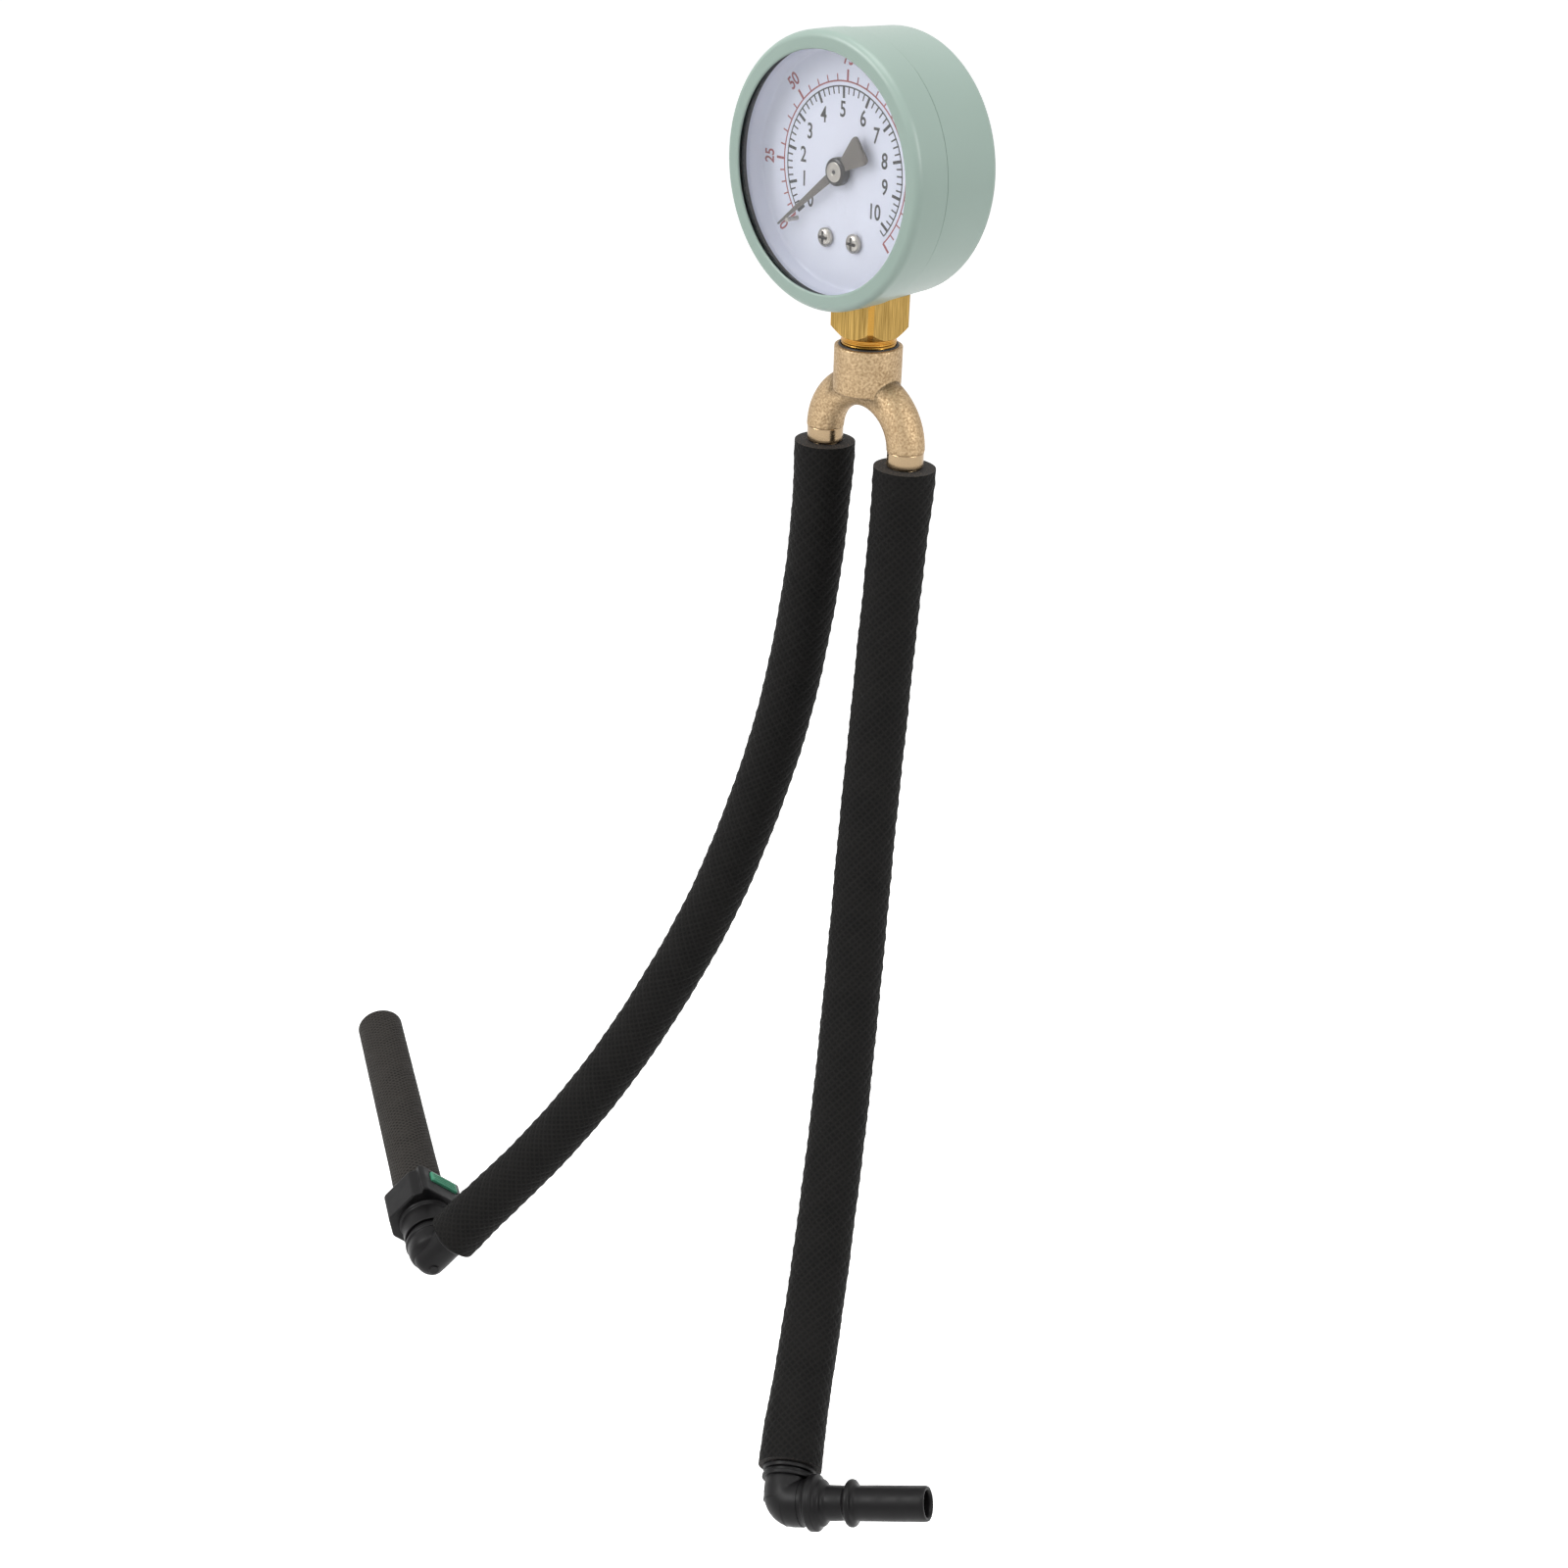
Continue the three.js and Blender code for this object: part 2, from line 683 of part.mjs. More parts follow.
// Where the sector, its tail and the link stand at rest
const sector_x = centre_distance * Math.cos(radians(sector_axis_degrees));
const sector_z = centre_distance * Math.sin(radians(sector_axis_degrees));
const link_angle = radians(link_angle_degrees);
const tail_rest_angle = link_angle - Math.PI / 2 - radians(sector_sweep_degrees) / 2;
const tail_tip = [
  sector_x + tail_length * Math.cos(tail_rest_angle),
  sector_z + tail_length * Math.sin(tail_rest_angle),
];
const link_tip = [
  tail_tip[0] + link_length * Math.cos(link_angle),
  tail_tip[1] + link_length * Math.sin(link_angle),
];

function make_gears(arbor_front) {
  const to_pinion = radians(sector_axis_degrees) + Math.PI;
  const first = -Math.ceil(sector_sweep_degrees * sector_teeth / 360 + teeth_past_full);
  const last = teeth_past_rest;
  const teeth = tooth_points(sector_teeth, first, last, to_pinion);
  const inner = sector_pitch_radius - sector_web_width;
  const pitch_angle = 2 * Math.PI / sector_teeth;
  const rim_angles = [last + 1, first - 1].map((tooth) => to_pinion + tooth * pitch_angle);
  const rim_steps = last - first;
  const rim = [];
  for (let step = 0; step <= rim_steps; step += 1) {
    const angle = rim_angles[0] + (rim_angles[1] - rim_angles[0]) * step / rim_steps;
    rim.push(polar(inner, angle));
  }
  const arc = polygon([...teeth, ...rim]);
  const spoke_angles = rim_angles.map((angle, side) => angle + (side === 0 ? -1 : 1) * pitch_angle);
  const spokes = spoke_angles.map((angle) => plate(
    strip([0, 0], polar(inner + tail_width / 2, angle), tail_width / 2), sector_front, sector_back,
  ));
  const tail_arm = strip([0, 0], polar(tail_length, tail_rest_angle), tail_width / 2);
  const [pin_x, pin_z] = polar(tail_length, tail_rest_angle);
  const sector = cut(
    fuse(
      plate(arc, sector_front, sector_back), ...spokes, plate(tail_arm, sector_front, sector_back),
      bar(sector_hub_radius, sector_front, sector_back),
      moved(bar(tail_pin_radius, sector_front, link_back + seat_gap), pin_x, 0, pin_z),
    ),
    bar(arbor_radius + shaft_gap, sector_front - cut_overrun, sector_back + cut_overrun),
  );
  add('sector_gear', moved(sector, sector_x, 0, sector_z), 'machined_brass');

  const pivot_front = front_plate_front + seat_gap;
  const pivot_back = back_plate_back - seat_gap;
  const shoulder_front = front_plate_back + seat_gap;
  const shoulder_back = back_plate_front - seat_gap;
  const arbor = turned([
    [0, pivot_front], [pivot_radius, pivot_front], [pivot_radius, shoulder_front],
    [arbor_radius, shoulder_front], [arbor_radius, shoulder_back], [pivot_radius, shoulder_back],
    [pivot_radius, pivot_back], [0, pivot_back],
  ], small_sides);
  add('sector_arbor', moved(arbor, sector_x, 0, sector_z), 'bright_steel');

  const pinion_phase = radians(sector_axis_degrees) + Math.PI / pinion_teeth;
  const pinion_middle = (sector_front + sector_back) / 2;
  const pinion = plate(
    polygon(tooth_points(pinion_teeth, 0, pinion_teeth - 1, pinion_phase)),
    pinion_middle - pinion_width / 2, pinion_middle + pinion_width / 2,
  );
  const collet_back = shoulder_back - seat_gap;
  const spindle = turned([
    [0, arbor_front + seat_gap], [pivot_radius, arbor_front + seat_gap], [pivot_radius, dial_front],
    [arbor_radius, dial_back], [arbor_radius, collet_back - collet_width],
    [collet_radius, collet_back - collet_width], [collet_radius, collet_back], [arbor_radius, collet_back],
    [arbor_radius, shoulder_back], [pivot_radius, shoulder_back], [pivot_radius, pivot_back],
    [0, pivot_back],
  ], small_sides);
  add('pinion_arbor', fuse(spindle, pinion), 'bright_steel');
  return (collet_back - collet_width / 2);
}

// Hairspring wound round the collet, with its outer end beside a stud on the back plate
function make_hairspring(middle) {
  const steps = hairspring_turns * hairspring_steps_per_turn;
  const inner = collet_radius + seat_gap;
  const growth = hairspring_outer_radius - inner;
  const edge = (offset) => Array.from({ length: steps + 1 }, (_, step) => {
    const turn = 2 * Math.PI * step / hairspring_steps_per_turn;
    return polar(inner + growth * step / steps + offset, turn);
  });
  const outline = [...edge(hairspring_strip), ...edge(0).reverse()];
  const front = middle - hairspring_width / 2;
  add('hairspring', plate(polygon(outline), front, front + hairspring_width), 'tube_bronze');
  const end_angle = 2 * Math.PI * hairspring_turns;
  const stud_reach = hairspring_outer_radius + hairspring_strip + seat_gap + stud_radius;
  const [stud_x, stud_z] = polar(stud_reach, end_angle);
  const stud = bar(stud_radius, front - seat_gap, back_plate_back - seat_gap);
  add('hairspring_stud', moved(stud, stud_x, 0, stud_z), 'bright_steel');
  return [stud_x, stud_z];
}

// Front and back plates with the pillars and screws between them
function make_movement(stud_place) {
  const pillar_places = [[upper_pillar_x, upper_pillar_z], [lower_pillar_x, lower_pillar_z]];
  const hole = (radius, front, back, [x, z]) => moved(
    bar(radius, front - cut_overrun, back + cut_overrun), x, 0, z,
  );
  const outline = (drop) => rounded_rectangle(-plate_left, plate_right, -drop, plate_top, plate_corner);
  let front_plate = plate(outline(front_plate_drop), front_plate_front, front_plate_back);
  const front_holes = [
    [arbor_radius + shaft_gap, [0, 0]],
    [pivot_radius + shaft_gap, [sector_x, sector_z]],
    ...screw_places().map((place) => [screw_radius + seat_gap, place]),
    ...pillar_places.map((place) => [pillar_pivot_radius + shaft_gap, place]),
  ];
  for (const [radius, place] of front_holes) {
    front_plate = cut(front_plate, hole(radius, front_plate_front, front_plate_back, place));
  }
  add('movement_front_plate', front_plate, 'machined_brass');

  let back_plate = plate(outline(back_plate_drop), back_plate_front, back_plate_back);
  const back_holes = [
    [pivot_radius + shaft_gap, [0, 0]],
    [pivot_radius + shaft_gap, [sector_x, sector_z]],
    [stud_radius + shaft_gap, stud_place],
    ...pillar_places.map((place) => [pillar_screw_radius + seat_gap, place]),
  ];
  for (const [radius, place] of back_holes) {
    back_plate = cut(back_plate, hole(radius, back_plate_front, back_plate_back, place));
  }
  add('movement_back_plate', back_plate, 'machined_brass');

  const pillar_front = front_plate_back + seat_gap;
  const pillar_back = back_plate_front - seat_gap;
  const pillar = cut(
    fuse(
      bar(pillar_pivot_radius, front_plate_front + seat_gap, pillar_back),
      bar(pillar_radius, pillar_front, pillar_back),
    ),
    bar(pillar_screw_radius + shaft_gap, pillar_back - pillar_screw_length, pillar_back + cut_overrun),
  );
  const head_front = back_plate_back + seat_gap;
  const pillar_screw = fuse(
    bar(pillar_screw_radius, pillar_back - pillar_screw_length + seat_gap, head_front + seat_gap),
    bar(pillar_screw_head_radius, head_front, head_front + pillar_screw_head_height),
  );
  pillar_places.forEach(([x, z], side) => {
    const place = side === 0 ? 'upper' : 'lower';
    add(`pillar_${place}`, moved(pillar, x, 0, z), 'machined_brass');
    add(`pillar_screw_${place}`, moved(pillar_screw, x, 0, z), 'bright_steel');
  });
}

// Bourdon tube: a flat hollow section swept clockwise from the stem block to its tip
class TubeArc extends THREE.Curve {
  getPoint(share, target = new THREE.Vector3()) {
    const angle = radians(tube_root_degrees + (tube_tip_degrees - tube_root_degrees) * share);
    return target.set(tube_radius * Math.cos(angle), stem_y, tube_radius * Math.sin(angle));
  }
}

function oval(half_breadth, half_height) {
  const shape = new THREE.Shape();
  const flat = half_height - half_breadth;
  shape.absarc(flat, 0, half_breadth, -Math.PI / 2, Math.PI / 2);
  shape.absarc(-flat, 0, half_breadth, Math.PI / 2, Math.PI * 1.5);
  shape.closePath();
  return shape;
}

function make_bourdon_tube() {
  const section = oval(tube_breadth / 2, tube_height / 2);
  section.holes.push(oval(tube_breadth / 2 - tube_wall, tube_height / 2 - tube_wall));
  const tube = new THREE.ExtrudeGeometry(section, {
    steps: tube_steps, curveSegments: 2, bevelEnabled: false, extrudePath: new TubeArc(),
  });
  add('bourdon_tube', to_solid(tube), 'tube_bronze');

  const block_low = tube_radius - end_piece_breadth / 2;
  const block_high = tube_radius + end_piece_breadth / 2;
  const half_height = end_piece_height / 2;
  const block = box(
    [block_low, stem_y - half_height, -seat_gap - end_piece_length],
    [block_high, stem_y + half_height, -seat_gap],
  ).rotate([0, -tube_tip_degrees, 0]);
  const block_angle = radians(tube_tip_degrees) - (seat_gap + end_piece_length / 2) / tube_radius;
  const lug_front = link_back + seat_gap;
  const lug = plate(
    strip(polar(tube_radius, block_angle), link_tip, lug_width / 2), lug_front, lug_front + lug_thickness,
  );
  const tip_pin = bar(tail_pin_radius, link_front - seat_gap, lug_front + seat_gap);
  const pin = moved(tip_pin, link_tip[0], 0, link_tip[1]);
  add('tube_end_piece', fuse(block, lug, pin), 'machined_brass');

  const eye = ([x, z], radius, low, high) => moved(bar(radius, low, high), x, 0, z);
  const link = cut(
    fuse(
      plate(strip(tail_tip, link_tip, link_width / 2), link_front, link_back),
      eye(tail_tip, link_eye_radius, link_front, link_back),
      eye(link_tip, link_eye_radius, link_front, link_back),
    ),
    eye(tail_tip, tail_pin_radius + link_play, link_front - cut_overrun, link_back + cut_overrun),
    eye(link_tip, tail_pin_radius + shaft_gap, link_front - cut_overrun, link_back + cut_overrun),
  );
  add('tip_link', link, 'bright_steel');
}

// Stem: bevelled square bar, turned foot, spigot and the block inside the case, drilled through
function make_stem() {
  const half = stem_square / 2;
  const bevel = stem_corner_bevel;
  const square = polygon([
    [half, half - bevel], [half - bevel, half], [bevel - half, half], [-half, half - bevel],
    [-half, bevel - half], [bevel - half, -half], [half - bevel, -half], [half, bevel - half],
  ]);
  const block_bottom = -case_body_radius - stem_drop / 2;
  const square_top = -case_body_radius + half;
  const square_bar = new THREE.ExtrudeGeometry(square, {
    depth: square_top - stem_bottom_z, bevelEnabled: false, curveSegments: 1,
  });
  square_bar.translate(0, 0, stem_bottom_z);
  const corner_radius = half * Math.SQRT2;
  const turning = along_z(turned([
    [0, stem_bottom_z], [stem_turned_radius, stem_bottom_z],
    [corner_radius, stem_bottom_z + corner_radius - stem_turned_radius], [corner_radius, square_top],
    [0, square_top],
  ], large_sides));
  const spigot = along_z(turned([
    [0, spigot_bottom_z], [spigot_radius - spigot_chamfer, spigot_bottom_z],
    [spigot_radius, spigot_bottom_z + spigot_chamfer], [spigot_radius, stem_bottom_z + cut_overrun],
    [0, stem_bottom_z + cut_overrun],
  ]));
  const outside = cut(
    moved(fuse(to_solid(square_bar).intersect(turning), spigot), 0, stem_y, 0),
    case_envelope(seat_gap),
  );
  const block_half = block_width / 2;
  const block = fuse(
    box([-block_half, block_front, block_bottom], [block_half, block_back, block_top_z]),
    box(
      [-block_half, block_front, block_top_z - cut_overrun],
      [block_half, block_front + lug_depth, lug_top_z],
    ),
  );
  const port = moved(along_z(bar(port_radius, spigot_bottom_z - cut_overrun, -tube_radius)), 0, stem_y, 0);
  const socket_breadth = tube_breadth + 2 * seat_gap;
  const socket_left = -block_half - cut_overrun;
  const socket_right = -block_half + tube_socket_depth;
  const socket_high_z = -Math.sqrt(tube_radius ** 2 - block_half ** 2) + socket_breadth / 2;
  const socket_low_z = -Math.sqrt(tube_radius ** 2 - socket_right ** 2) - socket_breadth / 2;
  const socket_half_height = tube_height / 2 + seat_gap;
  const tube_socket = box(
    [socket_left, stem_y - socket_half_height, socket_low_z],
    [socket_right, stem_y + socket_half_height, socket_high_z],
  );
  const cross_port = moved(
    along_x(bar(cross_port_radius, socket_right - cut_overrun, port_radius / 2)), 0, stem_y, -tube_radius,
  );
  const dial_screw_hole = bar(
    screw_radius + seat_gap, block_front - cut_overrun, block_front + lug_depth + cut_overrun,
  );
  const case_screw_hole = bar(
    screw_radius + seat_gap, block_back - case_screw_length - seat_gap, block_back + cut_overrun,
  );
  add('stem_block', cut(
    fuse(outside, block), port, tube_socket, cross_port,
    ...screw_places().map(([x, z]) => moved(dial_screw_hole, x, 0, z)),
    moved(case_screw_hole, -case_screw_spread, 0, case_screw_z),
    moved(case_screw_hole, case_screw_spread, 0, case_screw_z),
  ), 'machined_brass');

  const head_top = -case_screw_sink;
  const case_screw = cut(
    turned([
      [0, head_top], [case_screw_head_radius, head_top], [screw_radius, head_top - case_screw_cone],
      [screw_radius, block_back - case_screw_length], [0, block_back - case_screw_length],
    ], small_sides),
    cross_recess(head_top - recess_depth, recess_depth + cut_overrun),
  );
  add('case_screw_left', moved(case_screw, -case_screw_spread, 0, case_screw_z), 'bright_steel');
  add('case_screw_right', moved(case_screw, case_screw_spread, 0, case_screw_z), 'bright_steel');

  const ring_inner = spigot_radius + seat_gap;
  const ring = washer(ring_inner, ring_inner + sealant_width, socket_mouth_z - sealant_height / 2,
    socket_mouth_z + sealant_height / 2);
  add('thread_sealant', moved(along_z(ring), 0, stem_y, 0), 'black_rubber');
}

// The arch that both arms follow, from one leg over the top to the other
class ArmArch extends THREE.Curve {
  getPoint(share, target = new THREE.Vector3()) {
    const angle = Math.PI * (1 - share);
    return target.set(arm_spread * Math.cos(angle), 0, arm_end_z + arm_rise * Math.sin(angle));
  }
}

function swept_circle(radius, path, steps, sides) {
  const corner = (_, side) => polar(radius, 2 * Math.PI * side / sides);
  const section = polygon(Array.from({ length: sides }, corner));
  return to_solid(new THREE.ExtrudeGeometry(section, {
    steps, bevelEnabled: false, curveSegments: 1, extrudePath: path,
  }));
}

function make_wye() {
  const chamfer_top = socket_bore + socket_chamfer;
  const socket = turned([
    [0, socket_bottom_z], [socket_radius - socket_chamfer, socket_bottom_z],
    [socket_radius, socket_bottom_z + socket_chamfer], [socket_radius, socket_mouth_z], [0, socket_mouth_z],
  ]);
  const bore = turned([
    [0, socket_floor_z], [socket_bore, socket_floor_z],
    [socket_bore, socket_mouth_z - socket_chamfer - sealant_height],
    [chamfer_top, socket_mouth_z - sealant_height], [chamfer_top, socket_mouth_z + cut_overrun],
    [0, socket_mouth_z + cut_overrun],
  ]);
  const stub_bottom = arm_end_z - stub_length;
  const stub = bar(stub_radius, stub_bottom, arm_end_z + arm_radius / 2, medium_sides);
  const leg = fuse(stub, nipple(-stub_bottom).rotate([180, 0, 0]));
  const leg_passage = bar(
    arm_passage_radius, stub_bottom - nipple_length - cut_overrun, arm_end_z + arm_passage_radius / 2,
  );
  const arch = new ArmArch();
  const sides = [-arm_spread, arm_spread];
  const outside = fuse(
    along_z(socket), swept_circle(arm_radius, arch, arm_steps, medium_sides),
    ...sides.map((x) => moved(along_z(leg), x, 0, 0)),
  );
  const wye = cut(
    outside, along_z(bore), swept_circle(arm_passage_radius, arch, arm_steps, small_sides / 2),
    ...sides.map((x) => moved(along_z(leg_passage), x, 0, 0)),
  );
  add('wye_fitting', moved(wye, 0, stem_y, 0), 'cast_brass');
}

// Hoses: a round section with a bore, swept along each route
function hose_section() {
  const circle = (radius, sides) => Array.from({ length: sides }, (_, side) => {
    const [x, y] = polar(radius, 2 * Math.PI * side / sides);
    return new THREE.Vector2(x, y);
  });
  const section = new THREE.Shape(circle(hose_diameter / 2, hose_sides));
  section.holes.push(new THREE.Path(circle(hose_bore / 2, bore_sides)));
  return section;
}

function make_hose(name, route) {
  const points = route.map((point) => new THREE.Vector3(...point));
  const path = new THREE.CatmullRomCurve3(points, false, 'centripetal');
  const hose = new THREE.ExtrudeGeometry(hose_section(), {
    steps: hose_steps, bevelEnabled: false, curveSegments: 1, extrudePath: path,
  });
  add(name, to_solid(hose), 'black_rubber');
}

// Male elbow: nipple, two rings, elbow, collar, neck, bead and open nose
function make_male_elbow() {
  const frame = fitting_frame(hose_right_route, spigot_heading, elbow_leg_length);
  const foot = elbow_leg_length - seat_gap;
  const ring_low = foot - 2 * elbow_ring_width - elbow_ring_groove;
  const leg = along_x(turned([
    [0, 0], [elbow_leg_radius, 0], [elbow_leg_radius, ring_low], [elbow_ring_radius, ring_low],
    [elbow_ring_radius, ring_low + elbow_ring_width], [elbow_leg_radius, ring_low + elbow_ring_width],
    [elbow_leg_radius, foot - elbow_ring_width], [elbow_ring_radius, foot - elbow_ring_width],
    [elbow_ring_radius, foot], [0, foot],
  ]));
  const nose = spigot_tube_length;
  const bead_start = nose - bead_from_nose;
  const collar_end = collar_start + collar_width;
  const nose_radius = spigot_tube_radius - nose_chamfer;
  const spigot = along_z(turned([
    [0, 0], [elbow_leg_radius, 0], [elbow_leg_radius, collar_start], [collar_radius, collar_start],
    [collar_radius, collar_end], [spigot_tube_radius, collar_end + collar_cone],
    [spigot_tube_radius, bead_start], [bead_radius, bead_start],
    [bead_radius, bead_start + bead_width], [spigot_tube_radius, bead_start + bead_width],
    [spigot_tube_radius, nose - nose_chamfer], [nose_radius, nose], [0, nose],
  ]));
  const heel = to_solid(new THREE.SphereGeometry(elbow_heel_radius, medium_sides, small_sides));
  const passages = [
    along_x(bar(elbow_passage_radius, 0, foot + nipple_length + cut_overrun)),
    along_z(bar(spigot_bore_radius, -elbow_passage_radius, nose + cut_overrun)),
  ];
  const elbow = fuse(leg, spigot, heel, along_x(nipple(foot)));
  add('male_elbow', cut(elbow, ...passages), 'black_plastic', frame);
  gauge.add(frame);
}

// Female connector: elbow, housing, seals, push button, plug and tail hose share one frame
function make_connector() {
  const frame = fitting_frame(hose_left_route, connector_heading, connector_leg_length);
  gauge.add(frame);
  make_connector_elbow(frame);
  make_connector_housing(frame);
  make_seals(frame);
  make_button(frame);
  make_plug(frame);
}

const weld_end = weld_flange_start + weld_flange_width + weld_groove_width;
const housing_start = weld_end + seat_gap;
const seal_bore = barrel_radius - barrel_wall;
const seal_start = weld_end + weld_spigot_length + seat_gap;
const seal_bore_end = housing_start + seal_bore_length;

function make_connector_elbow(frame) {
  const foot = connector_leg_length - seat_gap;
  const leg = along_x(turned([
    [0, 0], [connector_leg_radius, 0], [connector_leg_radius, foot - connector_foot_width],
    [connector_foot_radius, foot - connector_foot_width], [connector_foot_radius, foot], [0, foot],
  ]));
  const groove_start = weld_flange_start + weld_flange_width;
  const spigot_end = weld_end + weld_spigot_length;
  const cap_shoulder = (connector_cap_face_radius + connector_neck_radius) / 2 + connector_cap_depth / 4;
  const neck = along_z(turned([
    [0, -connector_cap_depth], [connector_cap_face_radius, -connector_cap_depth],
    [cap_shoulder, -connector_cap_depth / 2], [connector_neck_radius, 0],
    [connector_neck_radius, weld_flange_start], [weld_flange_radius, weld_flange_start],
    [weld_flange_radius, groove_start], [weld_groove_radius, groove_start],
    [weld_groove_radius, weld_end], [weld_spigot_radius, weld_end], [weld_spigot_radius, spigot_end],
    [0, spigot_end],
  ]));
  const gate = along_z(bar(gate_radius, -connector_cap_depth - gate_height, -connector_cap_depth / 2));
  const passages = [
    along_x(bar(elbow_passage_radius, 0, foot + nipple_length + cut_overrun)),
    along_z(bar(elbow_passage_radius, -elbow_passage_radius, spigot_end + cut_overrun)),
    along_z(bar(spigot_tube_radius + seal_clearance, plug_nose - seat_gap, spigot_end + cut_overrun)),
  ];
  const elbow = fuse(leg, neck, gate, along_x(nipple(foot)));
  add('connector_elbow', cut(elbow, ...passages), 'black_plastic', frame);
}

const yoke_pocket_low = yoke_start - seat_gap;
const yoke_pocket_high = yoke_start + button_length + seat_gap;

function make_connector_housing(frame) {
  const half = head_width / 2;
  const high = head_high_corner;
  const outline = polygon([
    [head_top, high - half], [head_top, half - high], [head_top - high, half],
    [head_low_corner - head_bottom, half], [-head_bottom, half - head_low_slope],
    [-head_bottom, head_low_slope - half], [head_low_corner - head_bottom, -half], [head_top - high, -half],
  ]);
  const head_geometry = new THREE.ExtrudeGeometry(outline, {
    depth: head_length, bevelEnabled: false, curveSegments: 1,
  });
  head_geometry.translate(0, 0, head_start);
  const head_end = head_start + head_length;
  const barrel = along_z(bar(barrel_radius, housing_start, head_start + cut_overrun, medium_sides));
  const bore = along_z(turned([
    [0, housing_start - cut_overrun], [seal_bore, housing_start - cut_overrun], [seal_bore, seal_bore_end],
    [head_bore_radius, seal_bore_end], [head_bore_radius, head_end + cut_overrun],
    [0, head_end + cut_overrun],
  ]));
  const pocket_half = yoke_inside + yoke_leg + seat_gap;
  const pocket_left = yoke_inside - yoke_leg_length - button_travel - seat_gap;
  const pocket_top = head_top - head_cheek;
  const pocket = box(
    [pocket_left, -pocket_half, yoke_pocket_low],
    [pocket_top, pocket_half, yoke_pocket_high],
  );
  const window_half = button_width / 2 + seat_gap;
  const window_hole = box(
    [0, -window_half, yoke_pocket_low],
    [head_top + cut_overrun, window_half, yoke_pocket_high],
  );
  add('connector_housing', cut(
    fuse(to_solid(head_geometry), barrel), bore, pocket, window_hole,
  ), 'black_plastic', frame);
}

function make_seals(frame) {
  const inner = spigot_tube_radius + seal_clearance;
  const outer = seal_bore - seat_gap;
  const wire_radius = seal_wire / 2;
  const middle = (inner + outer) / 2;
  const ring = new THREE.TorusGeometry(middle, (outer - inner) / 2, small_sides / 2, medium_sides);
  const seal = to_solid(ring);
  const first = seal_start + wire_radius;
  const spacer_low = first + wire_radius + seat_gap;
  const spacer_high = spacer_low + seal_spacer_width;
  const second = spacer_high + seat_gap + wire_radius;
  add('o_ring_inner', moved(seal, 0, 0, first), 'black_rubber', frame);
  add('o_ring_spacer', along_z(washer(inner, outer, spacer_low, spacer_high)), 'white_plastic', frame);
  add('o_ring_outer', moved(seal, 0, 0, second), 'black_rubber', frame);
  const bush_low = second + wire_radius + seat_gap;
  const bush = along_z(washer(inner, outer, bush_low, bush_low + bush_width));
  add('retaining_bush', bush, 'white_plastic', frame);
}

function make_button(frame) {
  const low = yoke_start;
  const high = yoke_start + button_length;
  const pad_top = head_top + button_rise;
  const bridge_top = yoke_inside + yoke_bridge;
  const outside = yoke_inside + yoke_leg;
  const yoke = fuse(
    box([yoke_inside, -outside, low], [bridge_top, outside, high]),
    box([yoke_inside - yoke_leg_length, -outside, low], [bridge_top, -yoke_inside, high]),
    box([yoke_inside - yoke_leg_length, yoke_inside, low], [bridge_top, outside, high]),
    box([yoke_inside, -button_width / 2, low], [pad_top, button_width / 2, high]),
  );
  add('release_button', yoke, 'green_plastic', frame);
}

function make_plug(frame) {
  const head_end = head_start + head_length;
  const flange_low = head_end + seat_gap;
  const flange_high = flange_low + plug_flange_width;
  const nose_radius = spigot_tube_radius - nose_chamfer;
  const tip = flange_high + nipple_length;
  const plug = turned([
    [0, plug_nose], [nose_radius, plug_nose], [spigot_tube_radius, plug_nose + nose_chamfer],
    [spigot_tube_radius, plug_bead_start], [bead_radius, plug_bead_start],
    [bead_radius, plug_bead_start + bead_width], [spigot_tube_radius, plug_bead_start + bead_width],
    [spigot_tube_radius, flange_low], [plug_flange_radius, flange_low], [plug_flange_radius, flange_high],
    [0, flange_high],
  ]);
  const passage = bar(elbow_passage_radius, plug_nose - cut_overrun, tip + cut_overrun);
  add('plug_nipple', along_z(cut(fuse(plug, nipple(flange_high)), passage)), 'black_plastic', frame);
  const tail_start = flange_high + seat_gap;
  const tail = new THREE.ExtrudeGeometry(hose_section(), {
    depth: tail_hose_length, steps: 1, bevelEnabled: false, curveSegments: 1,
  });
  tail.translate(0, 0, tail_start);
  add('tail_hose', to_solid(tail), 'black_rubber', frame);
}

make_case();
make_bezel();
make_dial();
const hub_socket_front = make_pointer();
const collet_middle = make_gears(hub_socket_front);
const stud_place = make_hairspring(collet_middle);
make_movement(stud_place);
make_bourdon_tube();
make_stem();
make_wye();
make_hose('hose_left', hose_left_route);
make_hose('hose_right', hose_right_route);
make_male_elbow();
make_connector();

gauge.updateMatrixWorld(true);

export default gauge;
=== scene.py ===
import logging
import math
from dataclasses import dataclass, field
from enum import Enum
from typing import Callable, Sequence

